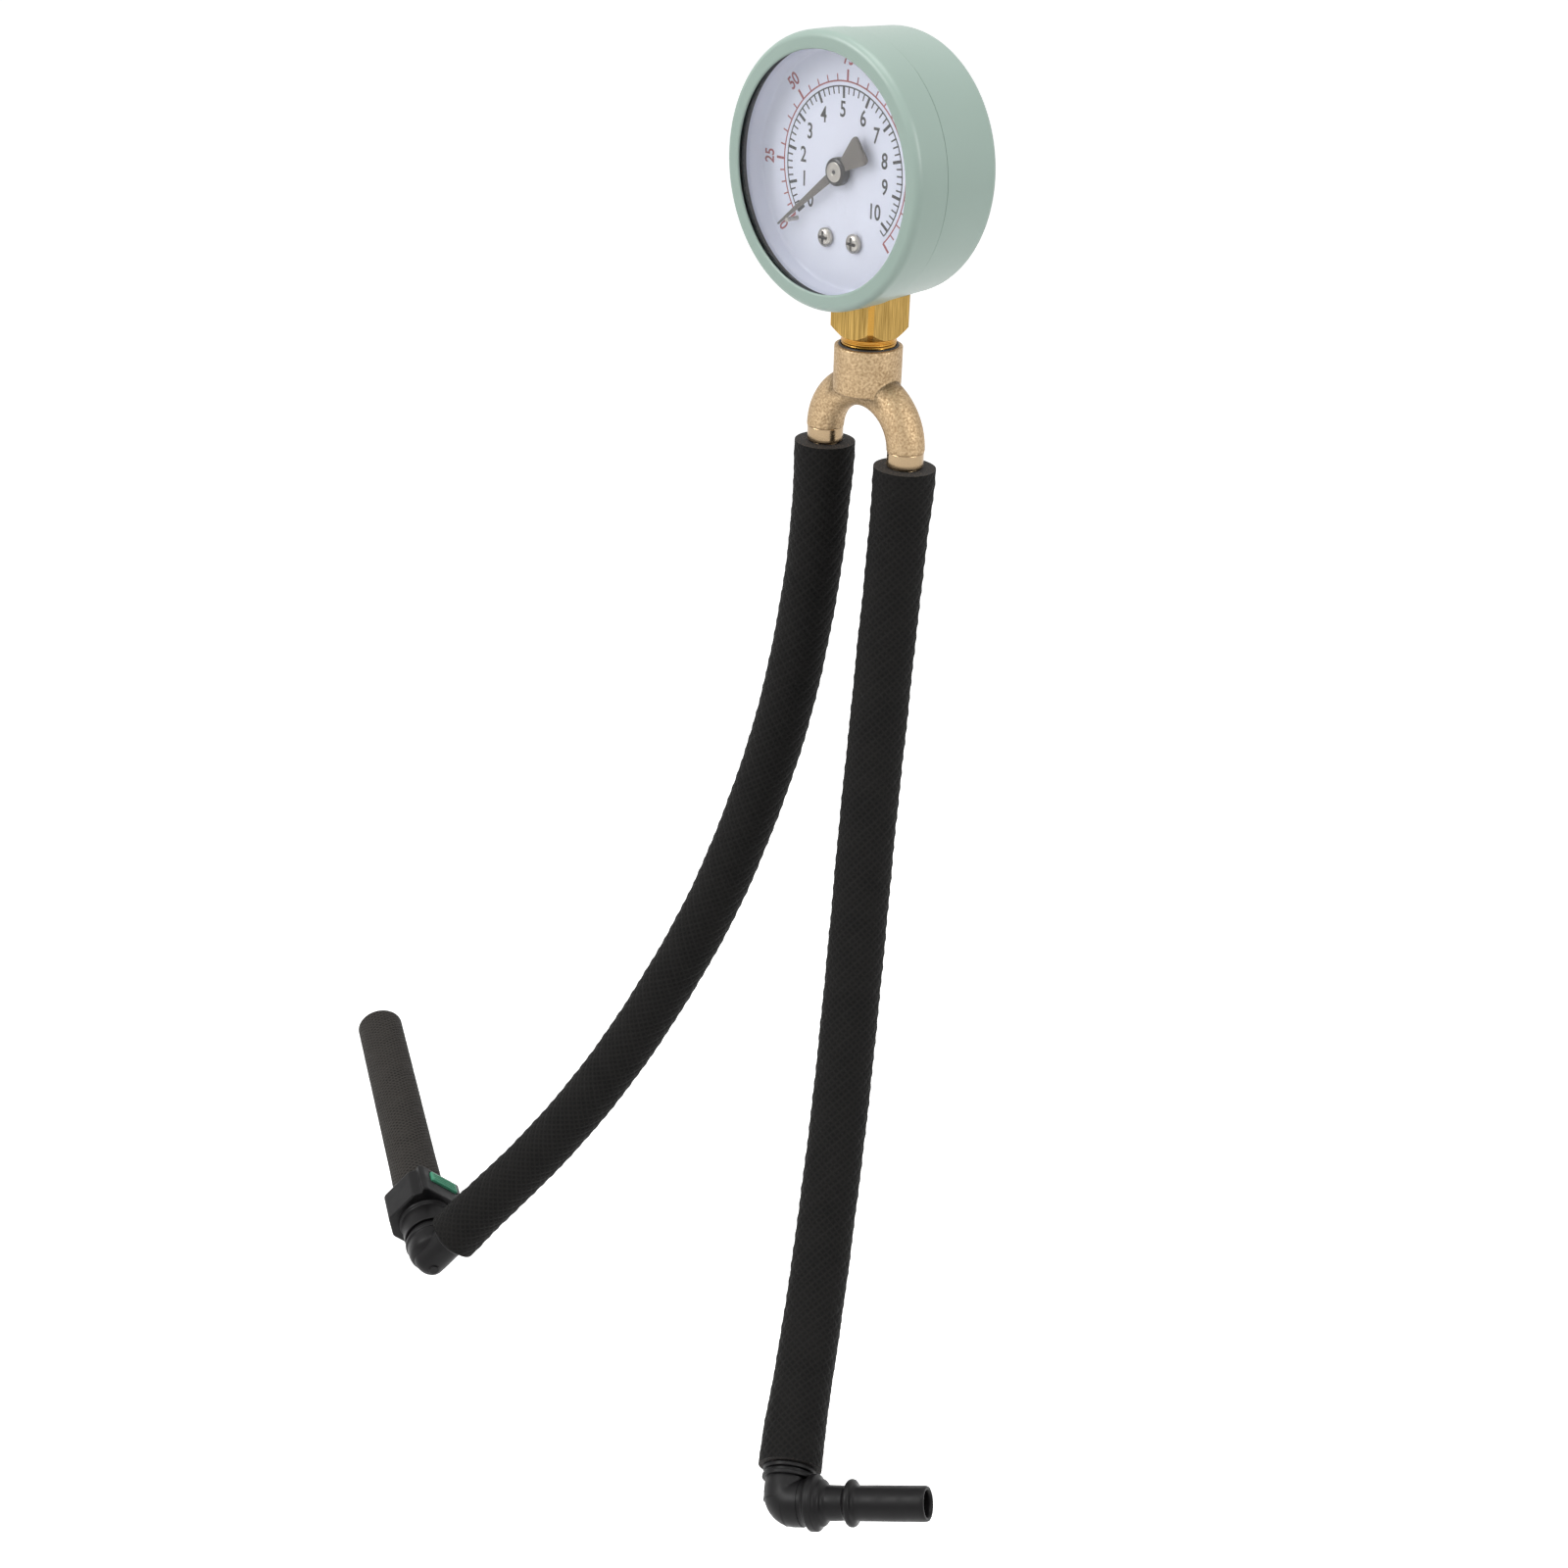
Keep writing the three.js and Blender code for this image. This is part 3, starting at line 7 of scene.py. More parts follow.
import bmesh
import bpy
import numpy as np
from mathutils import Euler, Matrix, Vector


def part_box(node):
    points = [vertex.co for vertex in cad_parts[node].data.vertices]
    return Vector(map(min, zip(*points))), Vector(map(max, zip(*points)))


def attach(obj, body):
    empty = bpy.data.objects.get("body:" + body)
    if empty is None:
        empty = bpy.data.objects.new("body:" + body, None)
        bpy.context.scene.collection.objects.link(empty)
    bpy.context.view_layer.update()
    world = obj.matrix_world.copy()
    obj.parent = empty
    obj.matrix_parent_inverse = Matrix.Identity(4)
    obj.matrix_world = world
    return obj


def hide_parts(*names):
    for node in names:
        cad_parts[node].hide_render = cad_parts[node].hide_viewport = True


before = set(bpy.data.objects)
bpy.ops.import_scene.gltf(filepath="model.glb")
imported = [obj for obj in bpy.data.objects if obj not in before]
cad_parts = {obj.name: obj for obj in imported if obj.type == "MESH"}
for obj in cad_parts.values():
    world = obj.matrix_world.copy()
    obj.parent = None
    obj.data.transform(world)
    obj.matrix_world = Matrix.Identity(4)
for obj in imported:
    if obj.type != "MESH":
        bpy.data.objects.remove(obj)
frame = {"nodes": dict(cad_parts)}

# Sizes are in millimetres until a mesh is written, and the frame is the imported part's own:
# the origin is the centre of the case's back, the dial faces -Y and the hoses hang towards -Z.
Array = np.ndarray
Tree = bpy.types.NodeTree
Socket = bpy.types.NodeSocket
Piece = bpy.types.Object
Corner = tuple[float, float, float]
MM = 0.001
# Where the stem's axis stands, and how far clockwise of the top the pointer rests in degrees
AXIS_Y = -8.1
REST_CLOCK = -128.0
# Steps round the case's circles and round the fittings', and from one point of a hose's bore to the next
CASE_SIDES = 192
FITTING_SIDES = 64
PATH_STEP = 6
# Angles in degrees past which an edge stays sharp
SOFT_EDGE = 32.0
MOULDED_EDGE = 28.0
CUT_EDGE = 25.0
LOG = logging.getLogger("gauge")


class Body(Enum):
    """The bodies that the pieces made here ride on."""

    GAUGE = "gauge"
    POINTER = "pointer"
    BUTTON = "push_button"
    PLUG = "tail_plug"


class Slot(Enum):
    """The record's material slots."""

    ENAMEL = "green_enamel"
    DIAL = "dial_white"
    GLASS = "clear_glass"
    RUBBER = "black_rubber"
    BLACK_PLASTIC = "black_plastic"
    GREEN_PLASTIC = "green_plastic"
    PALE_PLASTIC = "white_plastic"
    POINTER = "pointer_grey"
    STEEL = "bright_steel"
    MACHINED_BRASS = "machined_brass"
    CAST_BRASS = "cast_brass"
    BRONZE = "tube_bronze"


class Axis(Enum):
    """The axis that a metal was turned about, as its place in a point."""

    X = 0
    Y = 1
    Z = 2


# Colour and nodes
def linear(code: str) -> tuple[float, float, float, float]:
    """Turns an sRGB hex colour to linear values.

    Args:
        code: The colour, such as "#a0b9af".

    Returns:
        Red, green, blue and an alpha of one.
    """
    parts = [int(code[start:start + 2], 16) / 255 for start in (1, 3, 5)]
    red, green, blue = (c / 12.92 if c <= 0.04045 else ((c + 0.055) / 1.055) ** 2.4 for c in parts)
    return red, green, blue, 1.0


def set_values(tree: Tree, node: bpy.types.Node, values: dict) -> None:
    """Sets a node's properties, and sets or links its inputs.

    Args:
        tree: The node tree.
        node: The node.
        values: By input name or number a value or a socket, and by property name a setting.
    """
    for name, value in values.items():
        if not isinstance(name, int) and name not in node.inputs:
            setattr(node, name, value)
        elif isinstance(value, Socket):
            tree.links.new(value, node.inputs[name])
        else:
            node.inputs[name].default_value = value


def add_node(tree: Tree, kind: str, values: dict, output: int | str = 0) -> Socket:
    """Adds a shader node.

    Args:
        tree: The node tree that gets it.
        kind: The node's type name, without its first word.
        values: What set_values takes.
        output: The name or number of the output that is wanted.

    Returns:
        The output socket.
    """
    node = tree.nodes.new("ShaderNode" + kind)
    set_values(tree, node, values)
    return node.outputs[output]


def grain(tree: Tree, size: float, detail: float = 2.0, stretch: Corner = (1, 1, 1)) -> Socket:
    """Noise on Object coordinates, with grains of a real size.

    Args:
        tree: The node tree.
        size: The width of one grain in millimetres.
        detail: How many finer layers it has.
        stretch: How much finer it is along each axis.

    Returns:
        The noise, from 0 to 1.
    """
    place = add_node(tree, "TexCoord", {}, "Object")
    scaled = add_node(tree, "Mapping", {"Vector": place, "Scale": stretch})
    return add_node(tree, "TexNoise", {"Vector": scaled, "Scale": 1 / (size * MM), "Detail": detail}, "Fac")


# Finishes
@dataclass(frozen=True)
class Finish:
    """What every finish has. Where a pattern mixes two colours, colour is the dark one."""

    name: str
    slot: Slot
    colour: str
    roughness: float
    metallic: float = 0.0
    light: str = ""

    def material(self) -> bpy.types.Material:
        """Makes the material once, and finds it again after that.

        Returns:
            The Blender material.
        """
        if self.name in bpy.data.materials:
            return bpy.data.materials[self.name]
        made = bpy.data.materials.new(self.name)
        made.use_nodes = True
        tree = made.node_tree
        plain = {"Base Color": linear(self.colour), "Roughness": self.roughness, "Metallic": self.metallic}
        set_values(tree, tree.nodes["Principled BSDF"], plain | self.pattern(tree))
        return made

    def toned(self, tree: Tree, share: Socket) -> Socket:
        """Mixes the finish's dark and light colours.

        Args:
            tree: The material's node tree.
            share: How much of the light one there is.

        Returns:
            The colour.
        """
        ends = {6: linear(self.colour), 7: linear(self.light)}
        return add_node(tree, "Mix", {"data_type": "RGBA", 0: share, **ends}, 2)

    def pattern(self, tree: Tree) -> dict:
        """A faint unevenness of the gloss, which is all that a plain finish has.

        Args:
            tree: The material's node tree.

        Returns:
            Values and sockets by the shader's input name.
        """
        gloss = {0: grain(tree, 6.0), 3: self.roughness * 0.85, 4: self.roughness * 1.2}
        return {"Roughness": add_node(tree, "MapRange", gloss)}


@dataclass(frozen=True)
class Enamel(Finish):
    """Stoved enamel on sheet steel: a smooth coat with faint orange peel."""

    peel: float = 2.2
    drift: float = 22.0

    def pattern(self, tree: Tree) -> dict:
        """Orange peel as a very shallow bump, and a slow drift of the colour.

        Args:
            tree: The material's node tree.

        Returns:
            Values and sockets by the shader's input name.
        """
        peel, dust = grain(tree, self.peel, 1.0), grain(tree, 0.8, 3.0)
        gloss = {0: dust, 3: self.roughness * 0.9, 4: self.roughness * 1.15}
        return {
            "Base Color": self.toned(tree, grain(tree, self.drift, 1.0)),
            "Roughness": add_node(tree, "MapRange", gloss),
            "Normal": add_node(tree, "Bump", {"Height": peel, "Distance": 0.02 * MM, "Strength": 0.25}),
            "Coat Weight": 0.12,
            "Coat Roughness": 0.12,
        }


@dataclass(frozen=True)
class Paint(Finish):
    """A thin matt paint or ink with a slight tooth."""

    tooth: float = 0.25

    def pattern(self, tree: Tree) -> dict:
        """A fine tooth that shows only where light grazes it.

        Args:
            tree: The material's node tree.

        Returns:
            Values and sockets by the shader's input name.
        """
        tooth = grain(tree, self.tooth)
        gloss = {0: tooth, 3: self.roughness * 0.9, 4: self.roughness * 1.1}
        return {
            "Roughness": add_node(tree, "MapRange", gloss),
            "Normal": add_node(tree, "Bump", {"Height": tooth, "Distance": 0.006 * MM, "Strength": 0.3}),
        }


@dataclass(frozen=True)
class ClearWindow(Finish):
    """Flat float glass, clear and polished."""

    index: float = 1.45

    def pattern(self, tree: Tree) -> dict:
        """Clear all through, with a trace of haze on the surface.

        Args:
            tree: The material's node tree.

        Returns:
            Values and sockets by the shader's input name.
        """
        haze = {0: grain(tree, 9.0), 3: 0.0, 4: 2 * self.roughness}
        return {"Roughness": add_node(tree, "MapRange", haze), "Transmission Weight": 1.0, "IOR": self.index}


@dataclass(frozen=True)
class PlanedBrass(Finish):
    """Free-cutting brass, drawn square and linished along its length."""

    line: float = 0.22
    run: float = 9.0
    uneven: float = 0.125

    def pattern(self, tree: Tree) -> dict:
        """Long thin scratches along Z tint the metal and roughen it in lines.

        Args:
            tree: The material's node tree.

        Returns:
            Values and sockets by the shader's input name.
        """
        lines = grain(tree, self.line, 3.0, (1, 1, self.line / self.run))
        chatter = add_node(tree, "MapRange", {0: grain(tree, 0.5, 2.0, (0.06, 0.06, 1)), 4: 0.35})
        both = add_node(tree, "Math", {"operation": "ADD", 0: lines, 1: chatter})
        gloss = {0: lines, 1: 0.3, 2: 0.7, 3: self.roughness - self.uneven, 4: self.roughness + self.uneven}
        return {
            "Base Color": self.toned(tree, add_node(tree, "MapRange", {0: lines, 1: 0.3, 2: 0.7})),
            "Roughness": add_node(tree, "MapRange", gloss),
            "Normal": add_node(tree, "Bump", {"Height": both, "Distance": 0.03 * MM, "Strength": 0.5}),
        }


@dataclass(frozen=True)
class TurnedMetal(Finish):
    """Metal turned on a lathe: fine rings that follow the cutter along one axis."""

    feed: float = 0.14
    along: Axis = Axis.Z

    def pattern(self, tree: Tree) -> dict:
        """Rings a feed apart along the turning axis, with a slight smear of the gloss.

        Args:
            tree: The material's node tree.

        Returns:
            Values and sockets by the shader's input name.
        """
        rings = grain(tree, self.feed, 1.0, tuple(1.0 if axis is self.along else 0.02 for axis in Axis))
        gloss = {0: rings, 1: 0.3, 2: 0.7, 3: self.roughness * 0.7, 4: self.roughness * 1.5}
        return {
            "Roughness": add_node(tree, "MapRange", gloss),
            "Normal": add_node(tree, "Bump", {"Height": rings, "Distance": 0.012 * MM, "Strength": 0.35}),
        }


@dataclass(frozen=True)
class BlastedCasting(Finish):
    """Sand-cast brass, shot-blasted: a warm tan metal with an even sandy grain."""

    sand: float = 0.55
    uneven: float = 0.11
    socket_radius: float = 8.3
    socket_foot: float = -52.4
    corner_width: float = 2.6
    darkest: float = 0.45

    def pattern(self, tree: Tree) -> dict:
        """Sandy pits as a bump, with darker pits, a slow mottling and painted shade in the socket's corner.

        Args:
            tree: The material's node tree.

        Returns:
            Values and sockets by the shader's input name.
        """
        sand = grain(tree, self.sand, 4.0)
        mottle = add_node(tree, "MapRange", {0: grain(tree, 5.0, 3.0), 3: 0.75, 4: 1.2})
        blend = add_node(tree, "Math", {"operation": "MULTIPLY", 0: sand, 1: mottle})
        sandy = self.toned(tree, add_node(tree, "MapRange", {0: blend, 1: 0.25, 2: 0.75}))
        gloss = {0: sand, 1: 0.35, 2: 0.65, 3: self.roughness + self.uneven, 4: self.roughness - self.uneven}
        return {
            # The base colour is darkened by painted shade in the socket's corner
            "Base Color": add_node(tree, "HueSaturation", {"Color": sandy, "Value": self.painted_corner_shade(tree)}),
            "Roughness": add_node(tree, "MapRange", gloss),
            "Normal": add_node(tree, "Bump", {"Height": sand, "Distance": 0.16 * MM, "Strength": 0.8}),
        }

    def painted_corner_shade(self, tree: Tree) -> Socket:
        """Painted shade where the arms leave the socket.

        Depth is how far a point lies past the socket's wall or under its foot, whichever is more.
        The painted shade is darkest where the depth is nothing, and fades out over the corner's width.

        Args:
            tree: The material's node tree.

        Returns:
            The brightness, 1 where there is no painted shade.
        """
        place = add_node(tree, "TexCoord", {}, "Object")
        height = add_node(tree, "SeparateXYZ", {0: place}, 2)
        plan = add_node(tree, "VectorMath", {"operation": "MULTIPLY", 0: place, 1: (1, 1, 0)})
        reach = add_node(tree, "VectorMath", {"operation": "DISTANCE", 0: plan, 1: (0, AXIS_Y * MM, 0)}, 1)
        outside = add_node(tree, "Math", {"operation": "SUBTRACT", 0: reach, 1: self.socket_radius * MM})
        below = add_node(tree, "Math", {"operation": "SUBTRACT", 0: self.socket_foot * MM, 1: height})
        depth = add_node(tree, "Math", {"operation": "MAXIMUM", 0: outside, 1: below})
        # Painted shade: darkest at the corner, fading out over its width
        fade = {1: 0.2 * MM, 2: self.corner_width * MM, 3: self.darkest, 4: 1.0}
        fading = add_node(tree, "MapRange", {0: depth} | fade)
        unshaded = add_node(tree, "MapRange", {0: depth, 1: -0.1 * MM, 2: 0.1 * MM, 3: 1.0, 4: 0.0})
        return add_node(tree, "Math", {"operation": "MAXIMUM", 0: fading, 1: unshaded})


@dataclass(frozen=True)
class BraidedRubber(Finish):
    """Oil-proof rubber hose whose cover carries the print of the braid under it, as a bump with painted
    highlight on its crests and painted shade in its hollows.
    """

    uneven: float = 0.115
    pitch: float = 1.9
    print_depth: float = 0.12
    # How much lighter the crests are painted: a painted highlight on the ridges
    painted_crest_light: float = 0.35

    def pattern(self, tree: Tree) -> dict:
        """Crossing diagonal ridges on the hose's own UV map, with dry fibrous fuzz over them.

        A ridge is the cube of the sine's size, of the map's two values added or taken from each other. Each
        ridge is a bump, and the colour is painted lighter on the crests and darker in the hollows, as painted
        highlight and painted shade; the fuzz in patches adds wear.

        Args:
            tree: The material's node tree.

        Returns:
            Values and sockets by the shader's input name.
        """
        fuzz, patches = grain(tree, 0.3, 4.0), grain(tree, 7.0)
        place = add_node(tree, "TexCoord", {}, "UV")
        around, along = (add_node(tree, "SeparateXYZ", {0: place}, axis) for axis in (0, 1))
        ridges = []
        for sign in (1.0, -1.0):
            value = around
            for operation, other in (("MULTIPLY", sign), ("ADD", along), ("MULTIPLY", math.pi),
                                     ("SINE", 0.0), ("ABSOLUTE", 0.0), ("POWER", 3.0)):
                value = add_node(tree, "Math", {"operation": operation, 0: value, 1: other})
            ridges.append(value)
        ridge = add_node(tree, "Math", {"operation": "MAXIMUM", 0: ridges[0], 1: ridges[1]})
        cover = add_node(tree, "Math", {"operation": "MULTIPLY", 0: ridge, 1: self.print_depth})
        relief = add_node(tree, "Math", {"operation": "MULTIPLY_ADD", 0: fuzz, 1: 0.09, 2: cover})
        wear = add_node(tree, "Math", {"operation": "MULTIPLY", 0: fuzz, 1: patches})
        # Painted highlight on the crests and painted shade in the hollows, plus the wear
        crest_light_and_wear = add_node(tree, "Math", {"operation": "MULTIPLY_ADD", 0: ridge, 1: self.painted_crest_light, 2: wear})
        gloss = {0: fuzz, 1: 0.3, 2: 0.7, 3: self.roughness - self.uneven, 4: self.roughness + self.uneven}
        return {
            "Base Color": self.toned(tree, add_node(tree, "MapRange", {0: crest_light_and_wear, 1: 0.15, 2: 0.6})),
            "Roughness": add_node(tree, "MapRange", gloss),
            "Normal": add_node(tree, "Bump", {"Height": relief, "Distance": MM, "Strength": 1.0}),
            "Specular IOR Level": 0.11,
        }


@dataclass(frozen=True)
class CutRubber(Finish):
    """The cut end of a hose, where pale fibre ends stand in the black rubber."""

    fibre: float = 0.32

    def pattern(self, tree: Tree) -> dict:
        """Pale specks of fibre on torn rubber.

        Args:
            tree: The material's node tree.

        Returns:
            Values and sockets by the shader's input name.
        """
        specks = grain(tree, self.fibre)
        return {
            "Base Color": self.toned(tree, add_node(tree, "MapRange", {0: specks, 1: 0.58, 2: 0.72})),
            "Normal": add_node(tree, "Bump", {"Height": specks, "Distance": 0.2 * MM, "Strength": 0.9}),
        }


@dataclass(frozen=True)
class MouldedPlastic(Finish):
    """Plastic from a mould: satin, with a fine spark-eroded grain."""

    spark: float = 0.2

    def pattern(self, tree: Tree) -> dict:
        """Fine grain as a bump, and slow flow marks in the gloss.

        Args:
            tree: The material's node tree.

        Returns:
            Values and sockets by the shader's input name.
        """
        spark, flow = grain(tree, self.spark), grain(tree, 3.5, 2.0, (1, 1, 0.4))
        gloss = {0: flow, 1: 0.3, 2: 0.7, 3: self.roughness * 0.8, 4: self.roughness * 1.25}
        return {
            "Roughness": add_node(tree, "MapRange", gloss),
            "Normal": add_node(tree, "Bump", {"Height": spark, "Distance": 0.02 * MM, "Strength": 0.35}),
            "Specular IOR Level": 0.2,
        }


# A soft pale green with one broad glow where the sheet curves
GREEN_ENAMEL = Enamel("green_stoved_enamel", Slot.ENAMEL, "#8ea298", 0.38, light="#96a9a0")
# A clean white with a blue cast, so that the print stands out
DIAL_PAINT = Paint("dial_bluish_white_paint", Slot.DIAL, "#e2e6f5", 0.6)
# Near-black and dull red print, both without shine
BLACK_INK = Paint("dial_black_ink", Slot.DIAL, "#2b2b2e", 0.55)
RED_INK = Paint("dial_red_ink", Slot.DIAL, "#a04a52", 0.55)
# Warm dark grey with a low sheen, and a blacker collar that sets off the bright cap
POINTER_PAINT = Paint("pointer_dark_grey_paint", Slot.POINTER, "#6e6964", 0.42, 0.2)
COLLAR_PAINT = Paint("pointer_collar_dark_paint", Slot.POINTER, "#1d1d1f", 0.35, 0.2)
# Nothing but a faint reflection and a darker rim
WINDOW_GLASS = ClearWindow("window_float_glass", Slot.GLASS, "#ffffff", 0.015)
# Golden streaks down the flats, and smoother bevels, foot and thread between them
STEM_BRASS = PlanedBrass("stem_linished_brass", Slot.MACHINED_BRASS, "#876a32", 0.425, 1.0, "#d2ae66")
NECK_BRASS = TurnedMetal("stem_turned_brass", Slot.MACHINED_BRASS, "#c39446", 0.26, 1.0)
# A sandy champagne skin with painted shade where the arms leave the socket, and a plain bright band under it
# where the hose begins
CAST_BRASS = BlastedCasting("wye_blasted_cast_brass", Slot.CAST_BRASS, "#967e5e", 0.55, 1.0, "#d0b692")
STUB_BRASS = TurnedMetal("wye_turned_brass", Slot.CAST_BRASS, "#b29a7a", 0.22, 1.0)
# The metals inside the case: yellow plates, a redder spring tube and bright steel
MOVEMENT_BRASS = TurnedMetal("movement_rolled_brass", Slot.MACHINED_BRASS, "#cda052", 0.26, 1.0,
                             feed=0.2, along=Axis.X)
SPRING_BRONZE = Finish("drawn_spring_bronze", Slot.BRONZE, "#b07d4c", 0.3, 1.0)
BRIGHT_STEEL = TurnedMetal("bright_turned_steel", Slot.STEEL, "#b3afa8", 0.32, 1.0, feed=0.16, along=Axis.Y)
# A dark cross of painted shade in each screw's head
RECESS_PAINTED_SHADE = Finish("recess_painted_shade_steel", Slot.STEEL, "#4a433d", 0.6, 0.6)
# Dry black with a close diamond print, and a browner cover with a bolder one on the tail hose; each print has
# painted highlight on its crests and painted shade in its hollows
HOSE_COVER = BraidedRubber("hose_braid_printed_rubber", Slot.RUBBER, "#090909", 0.735, light="#1a1918")
TAIL_COVER = BraidedRubber("tail_hose_cross_printed_rubber", Slot.RUBBER, "#0b0b0a", 0.735, light="#3d3a37",
                           pitch=1.4, print_depth=0.3, painted_crest_light=0.62)
# A dull face with pale specks at each cut, and plain black for bores and seals
HOSE_CUT = CutRubber("hose_cut_rubber", Slot.RUBBER, "#1d1b1a", 0.85, light="#6b5a4c")
SEAL_RUBBER = Finish("moulded_seal_rubber", Slot.RUBBER, "#161616", 0.5)
# Satin black fittings, the button's sea green, and the pale bush and spacer
BLACK_NYLON = MouldedPlastic("black_glass_filled_nylon", Slot.BLACK_PLASTIC, "#0e0d0e", 0.42)
GREEN_ACETAL = MouldedPlastic("green_acetal", Slot.GREEN_PLASTIC, "#4c9677", 0.34)
PALE_NYLON = MouldedPlastic("pale_natural_nylon", Slot.PALE_PLASTIC, "#d8d6cf", 0.45)


# Surfaces as grids of points
@dataclass
class Surface:
    """A grid of points in millimetres, closed where its edges meet, with its finish and UVs."""

    points: Array
    finish: Finish
    uv: Array | None = None

    def moved(self, matrix: Array, origin: Array) -> "Surface":
        """The same surface turned by a matrix of column axes and shifted to an origin."""
        return Surface(self.points @ matrix.T + origin, self.finish, self.uv)

    def shifted(self, x: float, y: float, z: float) -> "Surface":
        """The same surface at another place."""
        return self.moved(np.eye(3), np.array([x, y, z]))


def ring_of(radius: Array, turn: Array, height: Array) -> Array:
    """Circles about +Z: x is radius times cosine, y is radius times sine, z is the height."""
    return np.stack([radius * np.cos(turn), radius * np.sin(turn), height + 0 * turn], axis=-1)


def distances(path: Array) -> Array:
    """How far along a path of points each point lies."""
    return np.concatenate([[0], np.cumsum(np.linalg.norm(np.diff(path, axis=0), axis=1))])


def softened(corners: Sequence[Corner], steps: int = 5) -> Array:
    """Rounds the corners of a line: each corner becomes a parabola between points a radius away.

    A support point stands just outside each soft corner, so that the flats beside it shade flat.

    Args:
        corners: First value, second value and softening length of each corner.
        steps: Points on each soft corner.

    Returns:
        The points, one a row.
    """
    line = np.array([corner[:2] for corner in corners], float)
    out = [line[:1]]
    share = np.linspace(0, 1, steps)[:, None]
    for before, here, after, corner in zip(line[:-2], line[1:-1], line[2:], corners[1:-1]):
        if corner[2] <= 0:
            out.append(here[None])
            continue
        sides = [before - here, after - here]
        lengths = [np.linalg.norm(side) for side in sides]
        reach = [min(corner[2], length * 0.44) for length in lengths]
        start, end = (here + side / length * near for side, length, near in zip(sides, lengths, reach))
        guards = [here + side / length * (near + min(0.08, length * 0.04))
                  for side, length, near in zip(sides, lengths, reach)]
        out.append(guards[0][None])
        out.append((1 - share) ** 2 * start + 2 * share * (1 - share) * here + share ** 2 * end)
        out.append(guards[1][None])
    out.append(line[-1:])
    return np.vstack(out)


def lathe(profile: Array, finish: Finish, sides: int = 96) -> Surface:
    """Turns a profile about +Z.

    Args:
        profile: Radius and height, one point a row. It ends on the axis or closes on itself.
        finish: The surface's finish.
        sides: Steps round the axis.

    Returns:
        The closed surface.
    """
    return Surface(ring_of(profile[:, :1], np.linspace(0, 2 * np.pi, sides + 1), profile[:, 1:2]), finish)


def tube(path: Array, radii: Array, finish: Finish, sides: int = 32, relief: Callable | None = None,
         pitch: float = 0.0, strands: int = 0) -> Surface:
    """Carries a circle along a path: path point plus radius times cosine and sine of two normals.

    Args:
        path: The centre line, one point a row.
        radii: The radius at each point; zero closes an end.
        finish: The surface's finish.
        sides: Steps round the circle.
        relief: Height added to the radius, from distance along and angle.
        pitch: Length of the UV map's units along the path in millimetres, or zero for none.
        strands: How many of the map's units go round.

    Returns:
        The surface.
    """
    step = np.gradient(path, axis=0)
    lengths = np.linalg.norm(step, axis=1)
    for row in np.flatnonzero(lengths < 1e-9):
        step[row] = step[max(row - 1, 0)] if row else step[1]
    heading = step / np.linalg.norm(step, axis=1)[:, None]
    aim = np.array([1.0, 0.2, 0.1])
    side = aim - (heading @ aim)[:, None] * heading
    side /= np.linalg.norm(side, axis=1)[:, None]
    other = np.cross(heading, side)
    turn = np.linspace(0, 2 * np.pi, sides + 1)
    gone = distances(path)
    radius = radii[:, None] + (relief(gone[:, None], turn[None]) if relief else 0 * turn)
    ring = np.cos(turn)[None, :, None] * side[:, None] + np.sin(turn)[None, :, None] * other[:, None]
    points = path[:, None] + radius[..., None] * ring
    uv = None
    if pitch:
        around = turn / (2 * np.pi) * strands
        uv = np.stack(np.broadcast_arrays(around[None], gone[:, None] / pitch), axis=-1)
    return Surface(points, finish, uv)


def prism(outline: Array, low: float, high: float, finish: Finish, edge: float = 0.3) -> Surface:
    """Raises an outline along +Z with rounded rims.

    Each level is the outline, drawn in towards its middle by what a quarter circle takes off there.

    Args:
        outline: First and second value of each corner, in order and star-shaped about its middle.
        low: Height of the bottom.
        high: Height of the top.
        finish: The surface's finish.
        edge: Radius of the rims.

    Returns:
        The closed surface.
    """
    loop = np.vstack([outline, outline[:1]])
    middle = outline.mean(axis=0)
    turns = np.linspace(0, np.pi / 2, 4)
    guard = edge + 0.08
    inset = np.concatenate([[guard], edge * (1 - np.sin(turns)), [0, 0], edge * (1 - np.cos(turns)), [guard]])
    level = np.concatenate([[low], low + edge * (1 - np.cos(turns)), [low + guard, high - guard],
                            high - edge * (1 - np.sin(turns)), [high]])
    away = loop - middle
    reach = np.linalg.norm(away, axis=1)
    rings = middle + away[None] * (1 - inset[:, None] / reach[None])[..., None]
    walls = np.concatenate([rings, np.broadcast_to(level[:, None, None], rings.shape[:2] + (1,))], axis=-1)
    ends = [np.broadcast_to([*middle, value], walls[:1].shape) for value in (low, high)]
    return Surface(np.concatenate([ends[0], walls, ends[1]]), finish)


def rounded_outline(corners: Sequence[Corner]) -> Array:
    """Closes an outline and softens its corners.

    Args:
        corners: First value, second value and softening length of each corner.

    Returns:
        The outline's points, the first of them only once.
    """
    start = tuple((np.array(corners[-1][:2]) + np.array(corners[0][:2])) / 2) + (0,)
    line = softened([start, *corners, start])
    return line[:-1]


def rounded_box(low: Sequence[float], high: Sequence[float], finish: Finish, edge: float = 0.3) -> Surface:
    """A box along Z with soft upright edges and rims.

    Args:
        low: Its lowest corner.
        high: Its highest corner.
        finish: The surface's finish.
        edge: Radius of its edges.

    Returns:
        The closed surface.
    """
    (left, front, floor), (right, back, ceiling) = low, high
    corners = [(left, front, edge), (right, front, edge), (right, back, edge), (left, back, edge)]
    return prism(rounded_outline(corners), floor, ceiling, finish, edge)


def linked(name: str, data: bpy.types.ID) -> Piece:
    """Puts a new object in the scene.

    Args:
        name: The object's name.
        data: Its mesh, curve, camera or light.

    Returns:
        The object.
    """
    made = bpy.data.objects.new(name, data)
    bpy.context.scene.collection.objects.link(made)
    return made


